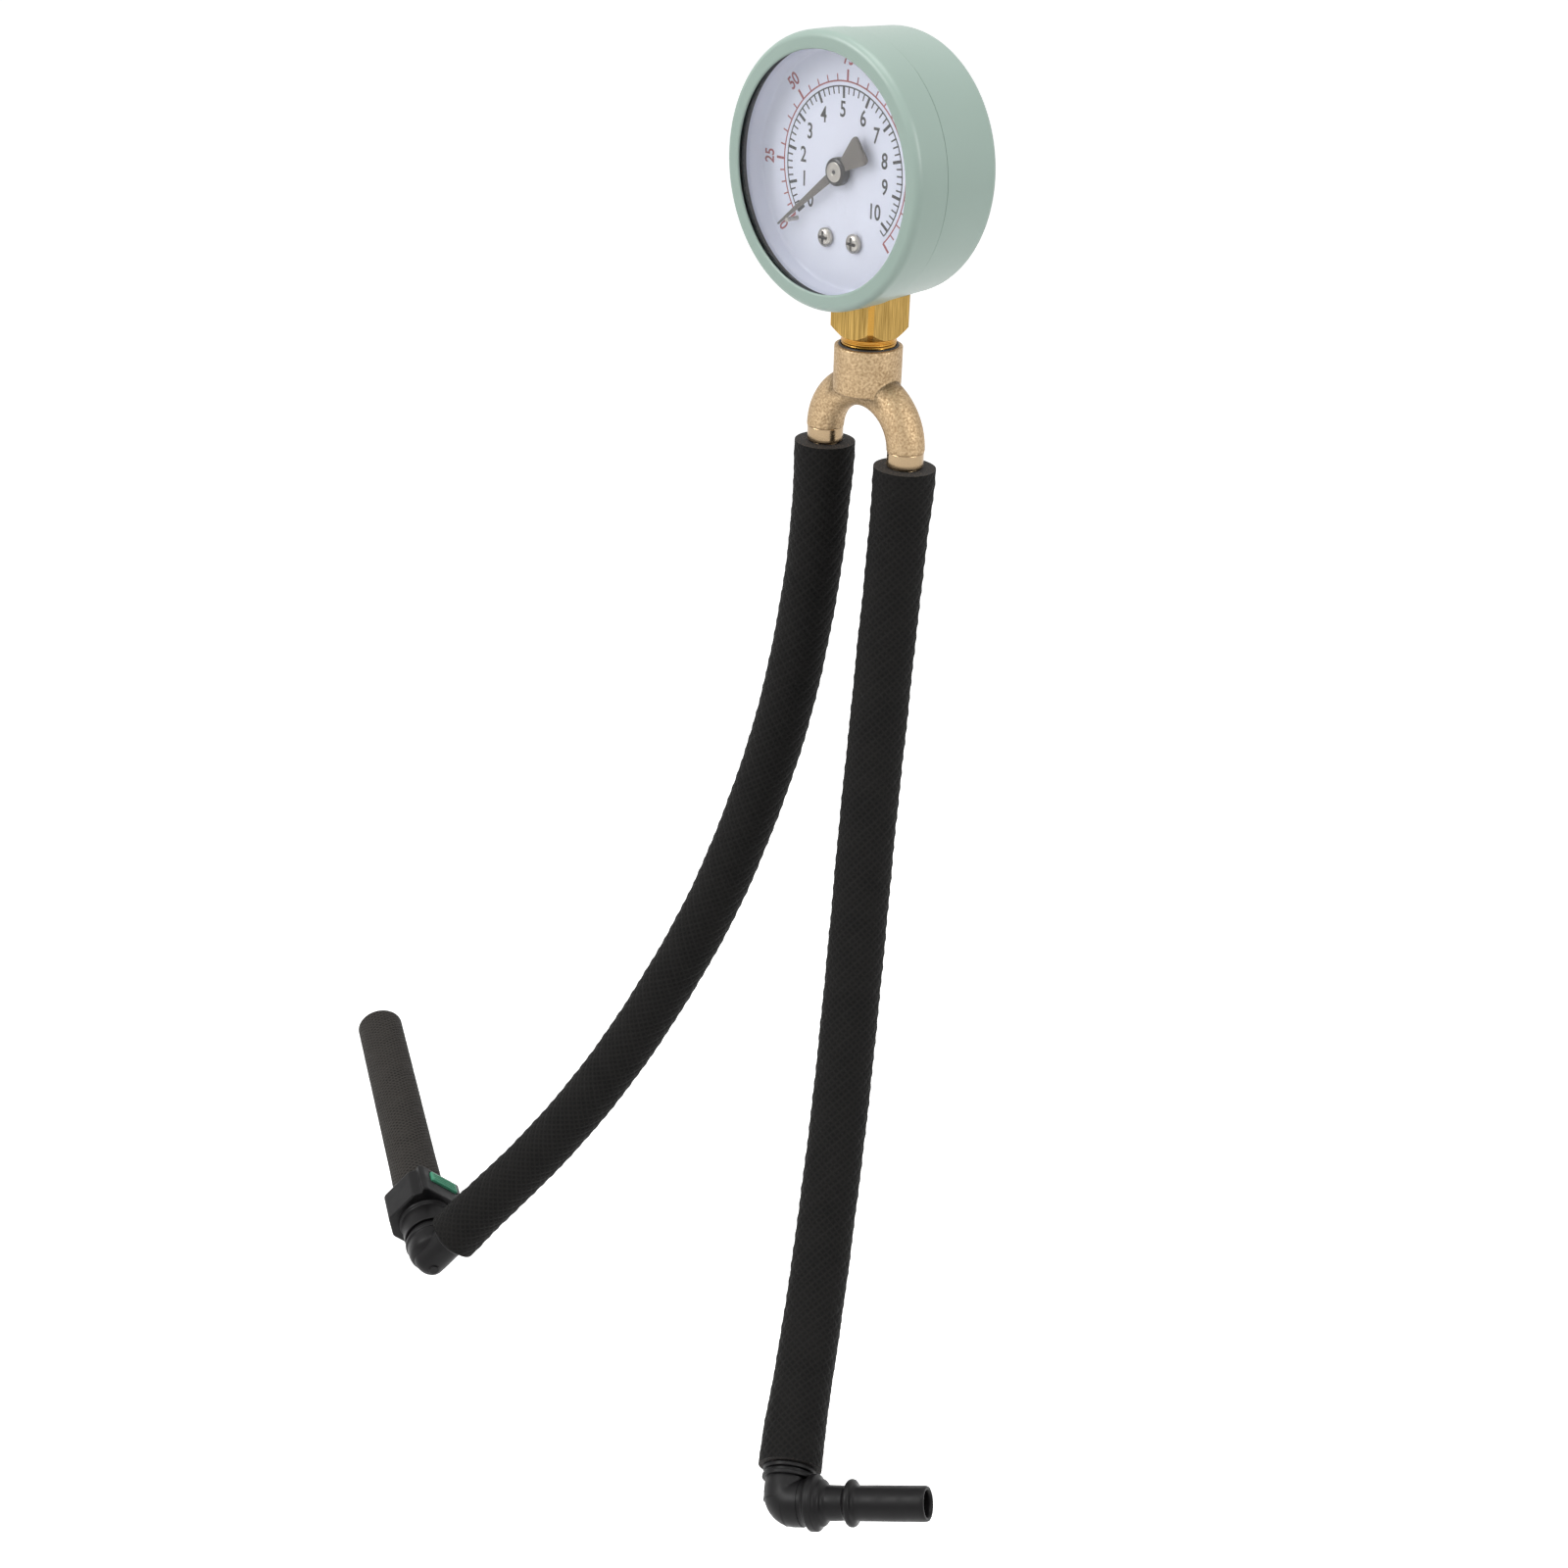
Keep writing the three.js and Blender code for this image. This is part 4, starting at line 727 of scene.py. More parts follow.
def write_mesh(name: str, surfaces: Sequence[Surface], sharp: float = SOFT_EDGE) -> Piece:
    """Writes surfaces to one object at the origin, joins their seams and turns their faces out.

    Args:
        name: The object's name.
        surfaces: The surfaces, whose finishes become material slots.
        sharp: The angle in degrees past which an edge stays sharp.

    Returns:
        The linked object.
    """
    points, quads, uvs, slots = [], [], [], []
    finishes = list(dict.fromkeys(surface.finish for surface in surfaces))
    start = 0
    for surface in surfaces:
        rows, columns = surface.points.shape[:2]
        index = start + np.arange(rows * columns).reshape(rows, columns)
        corner = [index[:-1, :-1], index[:-1, 1:], index[1:, 1:], index[1:, :-1]]
        quads.append(np.stack(corner, axis=-1).reshape(-1, 4))
        slots.append(np.full(len(quads[-1]), finishes.index(surface.finish)))
        points.append(surface.points.reshape(-1, 3))
        uvs.append(np.zeros((rows * columns, 2)) if surface.uv is None else surface.uv.reshape(-1, 2))
        start += rows * columns
    points, quads, uvs = np.vstack(points), np.vstack(quads), np.vstack(uvs)
    mesh = bpy.data.meshes.new(name)
    mesh.from_pydata(points * MM, [], quads.tolist())
    layer = mesh.uv_layers.new(name="UVMap")
    layer.uv.foreach_set("vector", uvs[quads.reshape(-1)].astype(np.float32).ravel())
    mesh.polygons.foreach_set("material_index", np.concatenate(slots).astype(np.int32))
    for finish in finishes:
        mesh.materials.append(finish.material())
    work = bmesh.new()
    work.from_mesh(mesh)
    bmesh.ops.remove_doubles(work, verts=work.verts, dist=2e-6)
    bmesh.ops.dissolve_degenerate(work, edges=work.edges, dist=1e-7)
    bmesh.ops.recalc_face_normals(work, faces=work.faces)
    work.to_mesh(mesh)
    work.free()
    mesh.shade_smooth()
    mesh.set_sharp_from_angle(angle=math.radians(sharp))
    return linked(name, mesh)


def applied(made: Piece) -> Piece:
    """Applies an object's modifiers to its mesh.

    Args:
        made: The object with its modifiers.

    Returns:
        The same object with a plain mesh.
    """
    graph = bpy.context.evaluated_depsgraph_get()
    mesh = bpy.data.meshes.new_from_object(made.evaluated_get(graph))
    made.modifiers.clear()
    made.data = mesh
    return made


def melted(made: Piece, step: float, rounds: int) -> Piece:
    """Melts an object's solids into one skin of small cubes, and smooths it.

    Args:
        made: The object.
        step: The size of a cube in millimetres.
        rounds: How often the skin is smoothed.

    Returns:
        The same object with the skin as its mesh.
    """
    skin = made.modifiers.new("skin", "REMESH")
    skin.mode = "VOXEL"
    skin.voxel_size = step * MM
    calm = made.modifiers.new("calm", "SMOOTH")
    calm.factor = 0.5
    calm.iterations = rounds
    return applied(made)


def painted(made: Piece, finish: Finish) -> Piece:
    """Gives an object one finish in place of what it had.

    Args:
        made: The object.
        finish: The finish.

    Returns:
        The object.
    """
    made.data.materials.clear()
    made.data.materials.append(finish.material())
    return made


def carved(made: Piece, cutters: Sequence[Piece], sharp: float = SOFT_EDGE) -> Piece:
    """Cuts other objects out of one and removes them.

    Args:
        made: The object that is cut.
        cutters: The objects cut out of it.
        sharp: The angle in degrees past which an edge stays sharp.

    Returns:
        The cut object.
    """
    for cutter in cutters:
        cut = made.modifiers.new("cut", "BOOLEAN")
        cut.operation = "DIFFERENCE"
        cut.object = cutter
        cut.solver = "EXACT"
    applied(made)
    for cutter in cutters:
        bpy.data.objects.remove(cutter)
    made.data.shade_smooth()
    made.data.set_sharp_from_angle(angle=math.radians(sharp))
    return made


def settle(made: Piece, replaces: str = "", body: Body = Body.GAUGE) -> Piece:
    """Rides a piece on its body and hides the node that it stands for.

    Args:
        made: The piece.
        replaces: The CAD node that it stands for, if it has one.
        body: The CAD body that it moves with.

    Returns:
        The piece.
    """
    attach(made, body.value)
    if replaces:
        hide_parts(replaces)
    LOG.info("%s rides on %s and replaces %s", made.name, body.value, replaces or "nothing")
    return made


def piece(name: str, surfaces: Sequence[Surface], replaces: str = "", sharp: float = SOFT_EDGE,
          body: Body = Body.GAUGE) -> Piece:
    """Writes a piece, with a slot for each of its surfaces' finishes, and settles it."""
    return settle(write_mesh(name, surfaces, sharp), replaces, body)


def about_y(surface: Surface) -> Surface:
    """Turns a surface made along +Z so that its heights run along +Y."""
    return surface.moved(np.array([[1.0, 0, 0], [0, 0, 1], [0, -1, 0]]), np.zeros(3))


def upright(surface: Surface, x: float = 0.0) -> Surface:
    """Shifts a surface made along +Z onto the stem's axis, or onto an axis beside it."""
    return surface.shifted(x, AXIS_Y, 0.0)


# Routes and the frames of the fittings at their ends
LEFT_ROUTE = np.array([
    [-13.55, -8.1, -68], [-13.6, -8.2, -75], [-13.7, -8.7, -84], [-14.1, -10, -100], [-15, -12, -116],
    [-16, -14.8, -132], [-17.2, -18.5, -147.5], [-19, -23, -163], [-21, -28.2, -178], [-23.3, -34.2, -193],
    [-26.2, -41, -207.5], [-29.5, -48.5, -221.5], [-33, -56.5, -235], [-37, -65, -248],
    [-41.6, -74.1, -260.5], [-46.8, -83.8, -272.5], [-51.4, -92.1, -281.8], [-54.7, -98, -288.3],
    [-56.3, -100.9, -291.7], [-58, -104, -295.2],
])
RIGHT_ROUTE = np.array([
    [13.55, -8.1, -68], [13.5, -8.3, -75], [13.7, -9.3, -84], [14.8, -11.7, -99], [16.5, -14.9, -114],
    [19, -18.8, -129], [21.9, -23.3, -144], [25.3, -28.2, -158.5], [29, -33.2, -173],
    [33, -38.6, -187.3], [37.2, -44.3, -201.2], [41.7, -50.4, -214.5], [46.6, -57.2, -227],
    [52, -64.8, -239], [58.1, -73.2, -250], [64.9, -82.7, -260], [70.2, -90.1, -266.2],
    [76, -98.1, -271.7], [78.6, -101.4, -273.8], [81.5, -105, -276],
])


def smooth_route(points: Array, count: int) -> Array:
    """Draws one smooth curve through the points: centripetal Catmull-Rom, resampled to even steps.

    Args:
        points: The route's points.
        count: How many points the curve gets.

    Returns:
        The curve's points.
    """
    padded = np.vstack([2 * points[0] - points[1], points, 2 * points[-1] - points[-2]])
    knots = np.concatenate([[0], np.cumsum(np.sqrt(np.linalg.norm(np.diff(padded, axis=0), axis=1)))])
    where = np.linspace(knots[1], knots[-2], 8 * count)
    start = np.clip(np.searchsorted(knots, where, side="right") - 1, 1, len(points) - 1)

    def between(first: Array, second: Array, low: Array, high: Array) -> Array:
        """A straight blend of two points by where the parameter lies between two knots."""
        return first + (second - first) * ((where - low) / (high - low))[:, None]

    t = [knots[start + step] for step in (-1, 0, 1, 2)]
    p = [padded[start + step] for step in (-1, 0, 1, 2)]
    a = [between(p[k], p[k + 1], t[k], t[k + 1]) for k in range(3)]
    b = [between(a[k], a[k + 1], t[k], t[k + 2]) for k in range(2)]
    dense = between(b[0], b[1], t[1], t[2])
    gone = distances(dense)
    even = np.linspace(0, gone[-1], count)
    return np.stack([np.interp(even, gone, dense[:, axis]) for axis in range(3)], axis=1)


@dataclass(frozen=True)
class FittingFrame:
    """The axes of a fitting at a hose's end: X looks back into the hose and Z along the heading."""

    route: Array
    heading: Corner
    leg: float

    def axes(self) -> Array:
        """Finds the axes; the heading is first made square to the hose.

        Returns:
            The three axes as columns.
        """
        inward = self.route[-2] - self.route[-1]
        inward = inward / np.linalg.norm(inward)
        along = np.array(self.heading) - (np.array(self.heading) @ inward) * inward
        along = along / np.linalg.norm(along)
        return np.stack([inward, np.cross(along, inward), along], axis=1)

    def corner(self) -> Array:
        """The point where the fitting's two axes meet."""
        return self.route[-1] - self.axes()[:, 0] * self.leg

    def along_heading(self, surface: Surface) -> Surface:
        """Puts a surface made along +Z on the fitting's heading."""
        return surface.moved(self.axes(), self.corner())

    def along_hose(self, surface: Surface) -> Surface:
        """Puts a surface made along +Z on the axis that looks into the hose."""
        x, y, z = self.axes().T
        return surface.moved(np.stack([y, z, x], axis=1), self.corner())


def barbs(start: float, direction: float) -> list[Corner]:
    """Outlines a nipple with two barbs.

    Args:
        start: The shoulder's height.
        direction: 1 where the nipple points up, -1 where it points down.

    Returns:
        Radius, height and softening length of each corner, from the shoulder outwards.
    """
    corners = [(3.0, start, 0.0)]
    for number in range(2):
        low = start + direction * (0.3 + 4.5 * number)
        corners += [(3.4, low + direction * 0.2, 0.1), (3.4, low + direction * 0.8, 0.1),
                    (3.0, low + direction * 4.3, 0.1)]
    return corners


# The sub-assemblies
@dataclass
class Viewpoint:
    """The photograph's camera: place in millimetres, and turn, tilt and roll in degrees."""

    place: Corner = (316.8, -342.9, 83.1)
    turn: float = 45.6
    tilt: float = 62.2
    roll: float = 1.4
    lens: float = 45.0

    def build(self) -> Piece:
        """Makes the camera and sets it as the scene's.

        Returns:
            The camera.
        """
        data = bpy.data.cameras.new("viewpoint")
        data.lens = self.lens
        data.sensor_width = 36
        data.clip_start = 0.01
        data.clip_end = 20
        made = linked("viewpoint", data)
        turned = Euler((math.radians(self.tilt), 0, math.radians(self.turn)), "XYZ").to_matrix()
        rolled = turned @ Matrix.Rotation(math.radians(self.roll), 3, "Z")
        made.matrix_world = Matrix.Translation([value * MM for value in self.place]) @ rolled.to_4x4()
        bpy.context.scene.camera = made
        return made


@dataclass
class Studio:
    """A pale floor, a white surround for the camera and metal, and large soft lamps."""

    floor_z: float = -345.0
    reach: float = 7000.0
    glow: float = 0.62
    surround: float = 0.42

    def backdrop(self) -> bpy.types.Material:
        """Makes the pale matt floor, which adds white for the camera so that only a faint shadow stays.

        Returns:
            The floor's material.
        """
        made = bpy.data.materials.new("pale_studio_floor")
        made.use_nodes = True
        tree = made.node_tree
        set_values(tree, tree.nodes["Principled BSDF"], {
            "Base Color": linear("#f2f2f2"),
            "Roughness": 0.9,
            "Emission Color": (1, 1, 1, 1),
            "Emission Strength": add_node(tree, "MapRange", {0: self.mirrored(tree), 4: self.glow}),
        })
        return made

    @staticmethod
    def mirrored(tree: Tree) -> Socket:
        """Tells a ray from the camera, from metal or through glass from the light on the object.

        Args:
            tree: The node tree that gets the nodes.

        Returns:
            1 for such a ray and 0 for any other.
        """
        value, *others = (add_node(tree, "LightPath", {}, f"Is {kind} Ray")
                          for kind in ("Camera", "Transmission", "Glossy"))
        for other in others:
            value = add_node(tree, "Math", {"operation": "MAXIMUM", 0: value, 1: other})
        return value

    def build(self) -> None:
        """Makes the floor, the surround and the lamps."""
        turn = np.linspace(0, 2 * np.pi, 65)
        radius = np.array([0.0, 0.4, 1.0])[:, None] * self.reach
        grid = ring_of(radius, turn, self.floor_z + 0 * radius)
        floor = write_mesh("studio_floor", [Surface(grid, BLACK_INK)])
        floor.data.materials.clear()
        floor.data.materials.append(self.backdrop())
        world = bpy.data.worlds.new("studio")
        world.use_nodes = True
        tree = world.node_tree
        strength = add_node(tree, "MapRange", {0: self.mirrored(tree), 3: self.surround, 4: 1.0})
        set_values(tree, tree.nodes["Background"], {"Color": (1, 1, 1, 1), "Strength": strength})
        bpy.context.scene.world = world
        self.lamp("key_softbox", place=(-300, -620, 380), aim=(0, -20, -60), size=420, power=4.2)
        self.lamp("side_softbox", place=(620, 60, 240), aim=(0, -20, -80), size=300, power=1.7)
        self.lamp("top_softbox", place=(40, -60, 640), aim=(0, -20, -60), size=420, power=2.2)

    @staticmethod
    def lamp(name: str, place: Sequence[float], aim: Sequence[float], size: float, power: float) -> None:
        """Makes one square soft lamp.

        Args:
            name: Its name.
            place: Where it stands, in millimetres.
            aim: Where it looks.
            size: The length of its side.
            power: Its power in watts.
        """
        data = bpy.data.lights.new(name, "AREA")
        data.size = size * MM
        data.energy = power
        made = linked(name, data)
        start, end = np.array(place, float), np.array(aim, float)
        away = (start - end) / np.linalg.norm(start - end)
        side = np.cross([0.0, 0.0, 1.0], away)
        side /= np.linalg.norm(side)
        turned = Matrix(np.stack([side, np.cross(away, side), away], axis=1).tolist())
        made.matrix_world = Matrix.Translation((start * MM).tolist()) @ turned.to_4x4()


@dataclass
class Hose:
    """A rubber hose on a route, flared over the fittings at its ends, with cut faces and a bore."""

    name: str
    route: Array
    count: int
    cover: BraidedRubber
    body: Body = Body.GAUGE
    radius: float = 7.15
    bore: float = 3.95
    flare: float = 0.4
    flare_run: float = 14.0
    strands: int = 24
    relief: float = 0.11
    flared_ends: tuple[float, float] = (1.0, 1.0)
    sides: int = 120
    path: Array = field(init=False)

    def __post_init__(self) -> None:
        """Draws the route once."""
        self.path = smooth_route(self.route, self.count)

    def length(self) -> float:
        """The centre line's length in millimetres."""
        return float(distances(self.path)[-1])

    def radii(self) -> Array:
        """Eases the radius from each flare to the plain size as a bell curve.

        Returns:
            The radius at each point of the path.
        """
        gone = np.linspace(0, self.length(), self.count)
        near = self.flared_ends[0] * np.exp(-(gone / self.flare_run) ** 2)
        far = self.flared_ends[1] * np.exp(-((self.length() - gone) / self.flare_run) ** 2)
        return self.radius + self.flare * (near + far)

    def build(self) -> Piece:
        """Makes the hose as one closed skin: cover, cut ends and bore.

        Returns:
            The piece.
        """
        radii = self.radii()

        def braid(gone: Array, turn: Array) -> Array:
            """Crossing ridges: a cosine round the hose times one along it, faded at the cuts.

            Args:
                gone: Distance along the hose.
                turn: Angle round it.

            Returns:
                The height added to the radius.
            """
            fade = np.minimum(1, np.minimum(gone, self.length() - gone) / 2)
            along = np.cos(2 * np.pi * gone / (2 * self.cover.pitch))
            slow = 0.7 * np.sin(gone / 3.1) + 0.5 * np.sin(gone / 1.3 + 2 * turn)
            return self.relief * (fade * np.cos(self.strands / 2 * turn) * along + 0.4 * slow)

        cover = tube(self.path, radii, self.cover, self.sides, braid, self.cover.pitch, self.strands)
        sparse = self.path[::PATH_STEP]
        inner = tube(sparse, np.full(len(sparse), self.bore), SEAL_RUBBER, self.sides)
        inner.points[-1] += self.path[-1] - sparse[-1]
        ends = []
        for row, ring in ((0, inner.points[0]), (-1, inner.points[-1])):
            share = np.linspace(0, 1, 8)[:, None, None]
            ends.append(Surface(cover.points[row] * (1 - share) + ring * share, HOSE_CUT))
        return piece(f"{self.name}_cover", [cover, *ends, inner], self.name, 45, self.body)


@dataclass
class Case:
    """The enamelled case, its rolled bezel, the window, the gasket and the screws in the back."""

    depth: float = 26.8
    screw_x: float = 4.2
    screw_z: float = -24.0

    def shell(self) -> Piece:
        """The cup: a drawn steel case with a rounded back edge and a neck inside the bezel.

        Returns:
            The piece.
        """
        profile = softened([
            (0, 0, 0), (29.4, 0, 1.6), (30.0, -17.0, 0.15), (29.3, -17.0, 0.1), (29.3, -22.4, 0.1),
            (28.6, -22.4, 0.1), (28.6, -17.0, 0.1), (28.4, -1.6, 1.4), (26.8, -1.0, 0.4), (0, -1.0, 0),
        ], 8)
        made = write_mesh("case_drawn_shell", [about_y(lathe(profile, GREEN_ENAMEL, CASE_SIDES))])
        slot = rounded_box((-6.7, -15.4, -34), (6.7, -1.0, -24.5), GREEN_ENAMEL, 0.4)
        hole = np.array([(0, -4), (1.5, -4), (1.5, -1), (2.8, 0), (2.8, 2), (0, 2)], float)
        sink = lathe(hole, GREEN_ENAMEL)
        cutters = [write_mesh("slot", [slot])]
        for x in (-self.screw_x, self.screw_x):
            cutters.append(write_mesh("sink", [about_y(sink).shifted(x, 0, self.screw_z)]))
        return settle(carved(made, cutters), "case_shell")

    def bezel(self) -> Piece:
        """The ring: a flat front with a soft outer edge and a lip rolled over the window.

        Returns:
            The piece.
        """
        front = -self.depth
        profile = softened([
            (27.6, front + 0.78, 0), (26.5, front + 0.78, 0.3), (26.2, front + 0.35, 0.3), (26.5, front, 0.4),
            (29.3, front, 0.7), (30.25, front + 1.1, 0.9), (30.3, front + 4.2, 1.2), (30.25, -17.35, 0.15),
            (29.6, -17.3, 0.1), (29.6, front + 2.6, 1.2), (27.6, front + 0.78, 0),
        ], 9)
        ring = about_y(lathe(profile, GREEN_ENAMEL, CASE_SIDES))
        return piece("bezel_rolled_ring", [ring], "bezel_ring", 40)

    def window(self) -> list[Piece]:
        """The glass with ground edges, and the black gasket behind it.

        Returns:
            The two pieces.
        """
        glass = softened([(0, -25.8, 0), (28.1, -25.8, 0.2), (28.1, -24.0, 0.2), (0, -24.0, 0)], 3)
        seal = softened([(28.3, -23.96, 0), (27.05, -23.96, 0.1), (27.05, -22.5, 0.1), (29.3, -22.5, 0.2),
                         (29.3, -23.96, 0.2), (28.3, -23.96, 0)], 5)
        return [piece("window_glass_pane", [about_y(lathe(glass, WINDOW_GLASS, CASE_SIDES))], "window_lens"),
                piece("window_gasket_ring", [about_y(lathe(seal, SEAL_RUBBER, CASE_SIDES))], "lens_gasket")]

    def build(self) -> list[Piece]:
        """Makes every piece of the case.

        Returns:
            The pieces.
        """
        pieces = [self.shell(), self.bezel(), *self.window()]
        head = CrossHead(radius=2.5, crown=0.0, edge=1.1, shank=1.2, reach=7.2)
        for side, x in (("left", -self.screw_x), ("right", self.screw_x)):
            surfaces = head.surfaces((x, -0.1, self.screw_z), 1.0)
            pieces.append(piece(f"case_countersunk_screw_{side}", surfaces, f"case_screw_{side}"))
        return pieces


@dataclass
class CrossHead:
    """A screw whose head carries a cross recess; crown is its dome and edge its rim's height."""

    radius: float
    crown: float
    edge: float
    shank: float
    reach: float
    slot: float = 0.34
    length: float = 1.4
    depth: float = 0.8
    fall: float = 0.1

    def surfaces(self, place: Sequence[float], facing: float) -> list[Surface]:
        """Shapes the screw: its top is a dome, pushed down inside the two crossed slots.

        Args:
            place: The middle of the head's top.
            facing: 1 where the head looks along +Y, -1 where it looks along -Y.

        Returns:
            The top, the head's side with the shank, and a dark bar of painted shade on the floor of each
            slot.
        """
        turn = np.linspace(0, 2 * np.pi, 145)
        ring = np.linspace(0, 1, 40)[:, None] * self.radius
        x, z = ring * np.cos(turn), ring * np.sin(turn)

        def groove(across: Array, along: Array) -> Array:
            """Shares out one slot's depth.

            Args:
                across: Distance from the slot's middle line.
                along: Distance along it.

            Returns:
                1 inside, falling to 0 at the edge.
            """
            inside = np.minimum(self.slot - np.abs(across), self.length - np.abs(along))
            return np.clip(inside / self.fall, 0, 1)

        dome = -self.crown * (ring / self.radius) ** 4 - self.depth * np.maximum(groove(x, z), groove(z, x))
        below = -self.crown - self.edge
        lip = below if self.crown else -0.15
        rim = np.array([(self.radius, -self.crown), (self.radius, lip), (self.shank, below),
                        (self.shank, -self.reach), (0, -self.reach)])
        around, height = rim[:, :1], rim[:, 1:] + 0 * turn
        lower = np.stack([around * np.cos(turn), height, around * np.sin(turn)], axis=-1)
        made = [Surface(np.stack([x, dome, z], axis=-1), BRIGHT_STEEL), Surface(lower, BRIGHT_STEEL)]
        gap = 1.2 * self.fall
        wide, long = self.slot - gap, self.length - gap
        # Each slot's floor gets a thin dark bar of painted shade
        for x, z in ((wide, long), (long, wide)):
            bar = rounded_box((-x, -z, -0.03), (x, z, 0.03), RECESS_PAINTED_SHADE, 0.02)
            made.append(about_y(bar).shifted(0, 0.08 - self.depth, 0))
        return [surface.moved(np.diag([1.0, facing, 1.0]), np.array(place)) for surface in made]


@dataclass
class Dial:
    """The dial with its turned-up rim, printed scales, two screws and the pointer's stop."""

    front: float = -17.9
    black_radius: float = 18.0
    red_radius: float = 19.1
    ink: float = 0.03
    screw_x: float = 4.5
    font_size: float = 1.38
    font_weight: float = 0.065
    font_width: float = 0.8

    def at(self, radius: Array, clock: Array) -> Array:
        """Points on the dial's face from radii and clockwise angles from the top, in degrees."""
        across, up = radius * np.sin(np.radians(clock)), radius * np.cos(np.radians(clock))
        return np.stack(np.broadcast_arrays(across, self.front - self.ink, up), -1)

    def plate(self) -> Piece:
        """The painted plate: flat out to a turned-up rim.

        Returns:
            The piece.
        """
        profile = softened([
            (1.6, self.front + 0.4, 0), (1.6, self.front, 0.1), (26.4, self.front, 0.5), (27.8, -22.35, 0.2),
            (28.5, -22.35, 0.1), (27.1, self.front + 0.8, 0.4), (1.6, self.front + 0.8, 0.1),
            (1.6, self.front + 0.4, 0),
        ])
        return piece("dial_painted_plate", [about_y(lathe(profile, DIAL_PAINT, CASE_SIDES))], "dial_plate")

    def bars(self, clocks: Array, inner: Array | float, outer: Array | float, width: Array,
             finish: Finish) -> list[Surface]:
        """Prints strokes that point at the dial's centre.

        Args:
            clocks: The clockwise angle of each.
            inner: Where each starts, as a radius.
            outer: Where each ends.
            width: How wide each is.
            finish: The ink.

        Returns:
            One strip for each stroke.
        """
        made = []
        for clock, low, high, wide in zip(*np.broadcast_arrays(clocks, inner, outer, width)):
            reach = np.array([[low], [high]])
            clocks_of_edges = clock + np.degrees(wide / 2 / reach) * np.array([-1, 1])
            made.append(self.thick(self.at(reach, clocks_of_edges), finish))
        return made

    def thick(self, face: Array, finish: Finish) -> Surface:
        """Gives a printed strip the thickness of its ink.

        Args:
            face: The two rows of points along its edges.
            finish: The ink.

        Returns:
            A band round the strip, drawn together at both ends.
        """
        back = face + np.array([0, self.ink * 0.8, 0])
        band = np.stack([face[0], face[1], back[1], back[0], face[0]])
        ends = [np.broadcast_to(band[:-1, column].mean(axis=0), (5, 1, 3)) for column in (0, -1)]
        return Surface(np.concatenate([ends[0], band, ends[1]], axis=1), finish)

    def arc(self, radius: float, end: float, width: float, finish: Finish) -> Surface:
        """A printed line round the dial, from the pointer's rest to an angle."""
        edges = radius + width / 2 * np.array([[-1], [1]])
        return self.thick(self.at(edges, np.linspace(REST_CLOCK, end, 160)), finish)

    def number(self, text: str, radius: float, clock: float, height: float, lean: float,
               finish: Finish) -> Piece:
        """Raises one number from Blender's own font.

        Args:
            text: The number.
            radius: Distance of its middle from the dial's centre.
            clock: Its clockwise angle.
            height: Height of its figures.
            lean: How far it is turned clockwise, in degrees.
            finish: The ink.

        Returns:
            The object that holds it.
        """
        curve = bpy.data.curves.new(f"number_{text}", "FONT")
        curve.body = text
        curve.align_x = "CENTER"
        curve.align_y = "CENTER"
        curve.size = height * self.font_size * MM
        curve.extrude = self.ink * 0.4 * MM
        curve.offset = self.font_weight * MM
        curve.resolution_u = 6
        holder = linked("number", curve)
        graph = bpy.context.evaluated_depsgraph_get()
        mesh = bpy.data.meshes.new_from_object(holder.evaluated_get(graph))
        bpy.data.objects.remove(holder)
        middle = self.at(np.array(radius), np.array(clock)) + np.array([0, self.ink * 0.5, 0])
        turn = math.radians(lean)
        right, up = (math.cos(turn), 0, -math.sin(turn)), (math.sin(turn), 0, math.cos(turn))
        narrow = Matrix.Diagonal((self.font_width, 1, 1, 1))
        axes = Matrix(np.stack([right, up, (0, -1, 0)], axis=1).tolist()).to_4x4()
        mesh.transform(Matrix.Translation((middle * MM).tolist()) @ axes @ narrow)
        return painted(linked(f"number_{text}", mesh), finish)

    def scale(self, name: str, surfaces: list[Surface], numbers: list[Piece]) -> Piece:
        """Joins the strokes and numbers of one ink into a single printed piece.

        Args:
            name: The piece's name.
            surfaces: The strokes and the arc.
            numbers: The objects that hold the numbers.

        Returns:
            The piece.
        """
        made = write_mesh(name, surfaces)
        work = bmesh.new()
        work.from_mesh(made.data)
        for number in numbers:
            work.from_mesh(number.data)
            bpy.data.objects.remove(number)
        work.to_mesh(made.data)
        work.free()
        return settle(made)

    def print_black(self) -> Piece:
        """The inner scale: an arc, a stroke for each fifth and a heavy one for each whole.

        Returns:
            The piece.
        """
        units = np.arange(0, 52) * 0.2
        clocks = -132.4 + 26.0 * units
        clocks[0] = REST_CLOCK
        whole = np.isclose(units % 1, 0) | np.isclose(units % 1, 1)
        inner, width = np.where(whole, 15.5, 16.4), np.where(whole, 0.66, 0.34)
        surfaces = self.bars(clocks, inner, self.black_radius, width, BLACK_INK)
        surfaces.append(self.arc(self.black_radius, clocks[-1], 0.3, BLACK_INK))
        places = (-128, -106.4, -82.9, -57.6, -31.3, -3.5, 25, 48.2, 73.7, 98.3, 127.3)
        numbers = [self.number(str(value), 12.6 if value == 10 else 13.0, clock, 3.5, 0, BLACK_INK)
                   for value, clock in enumerate(places)]
        return self.scale("dial_black_scale", surfaces, numbers)

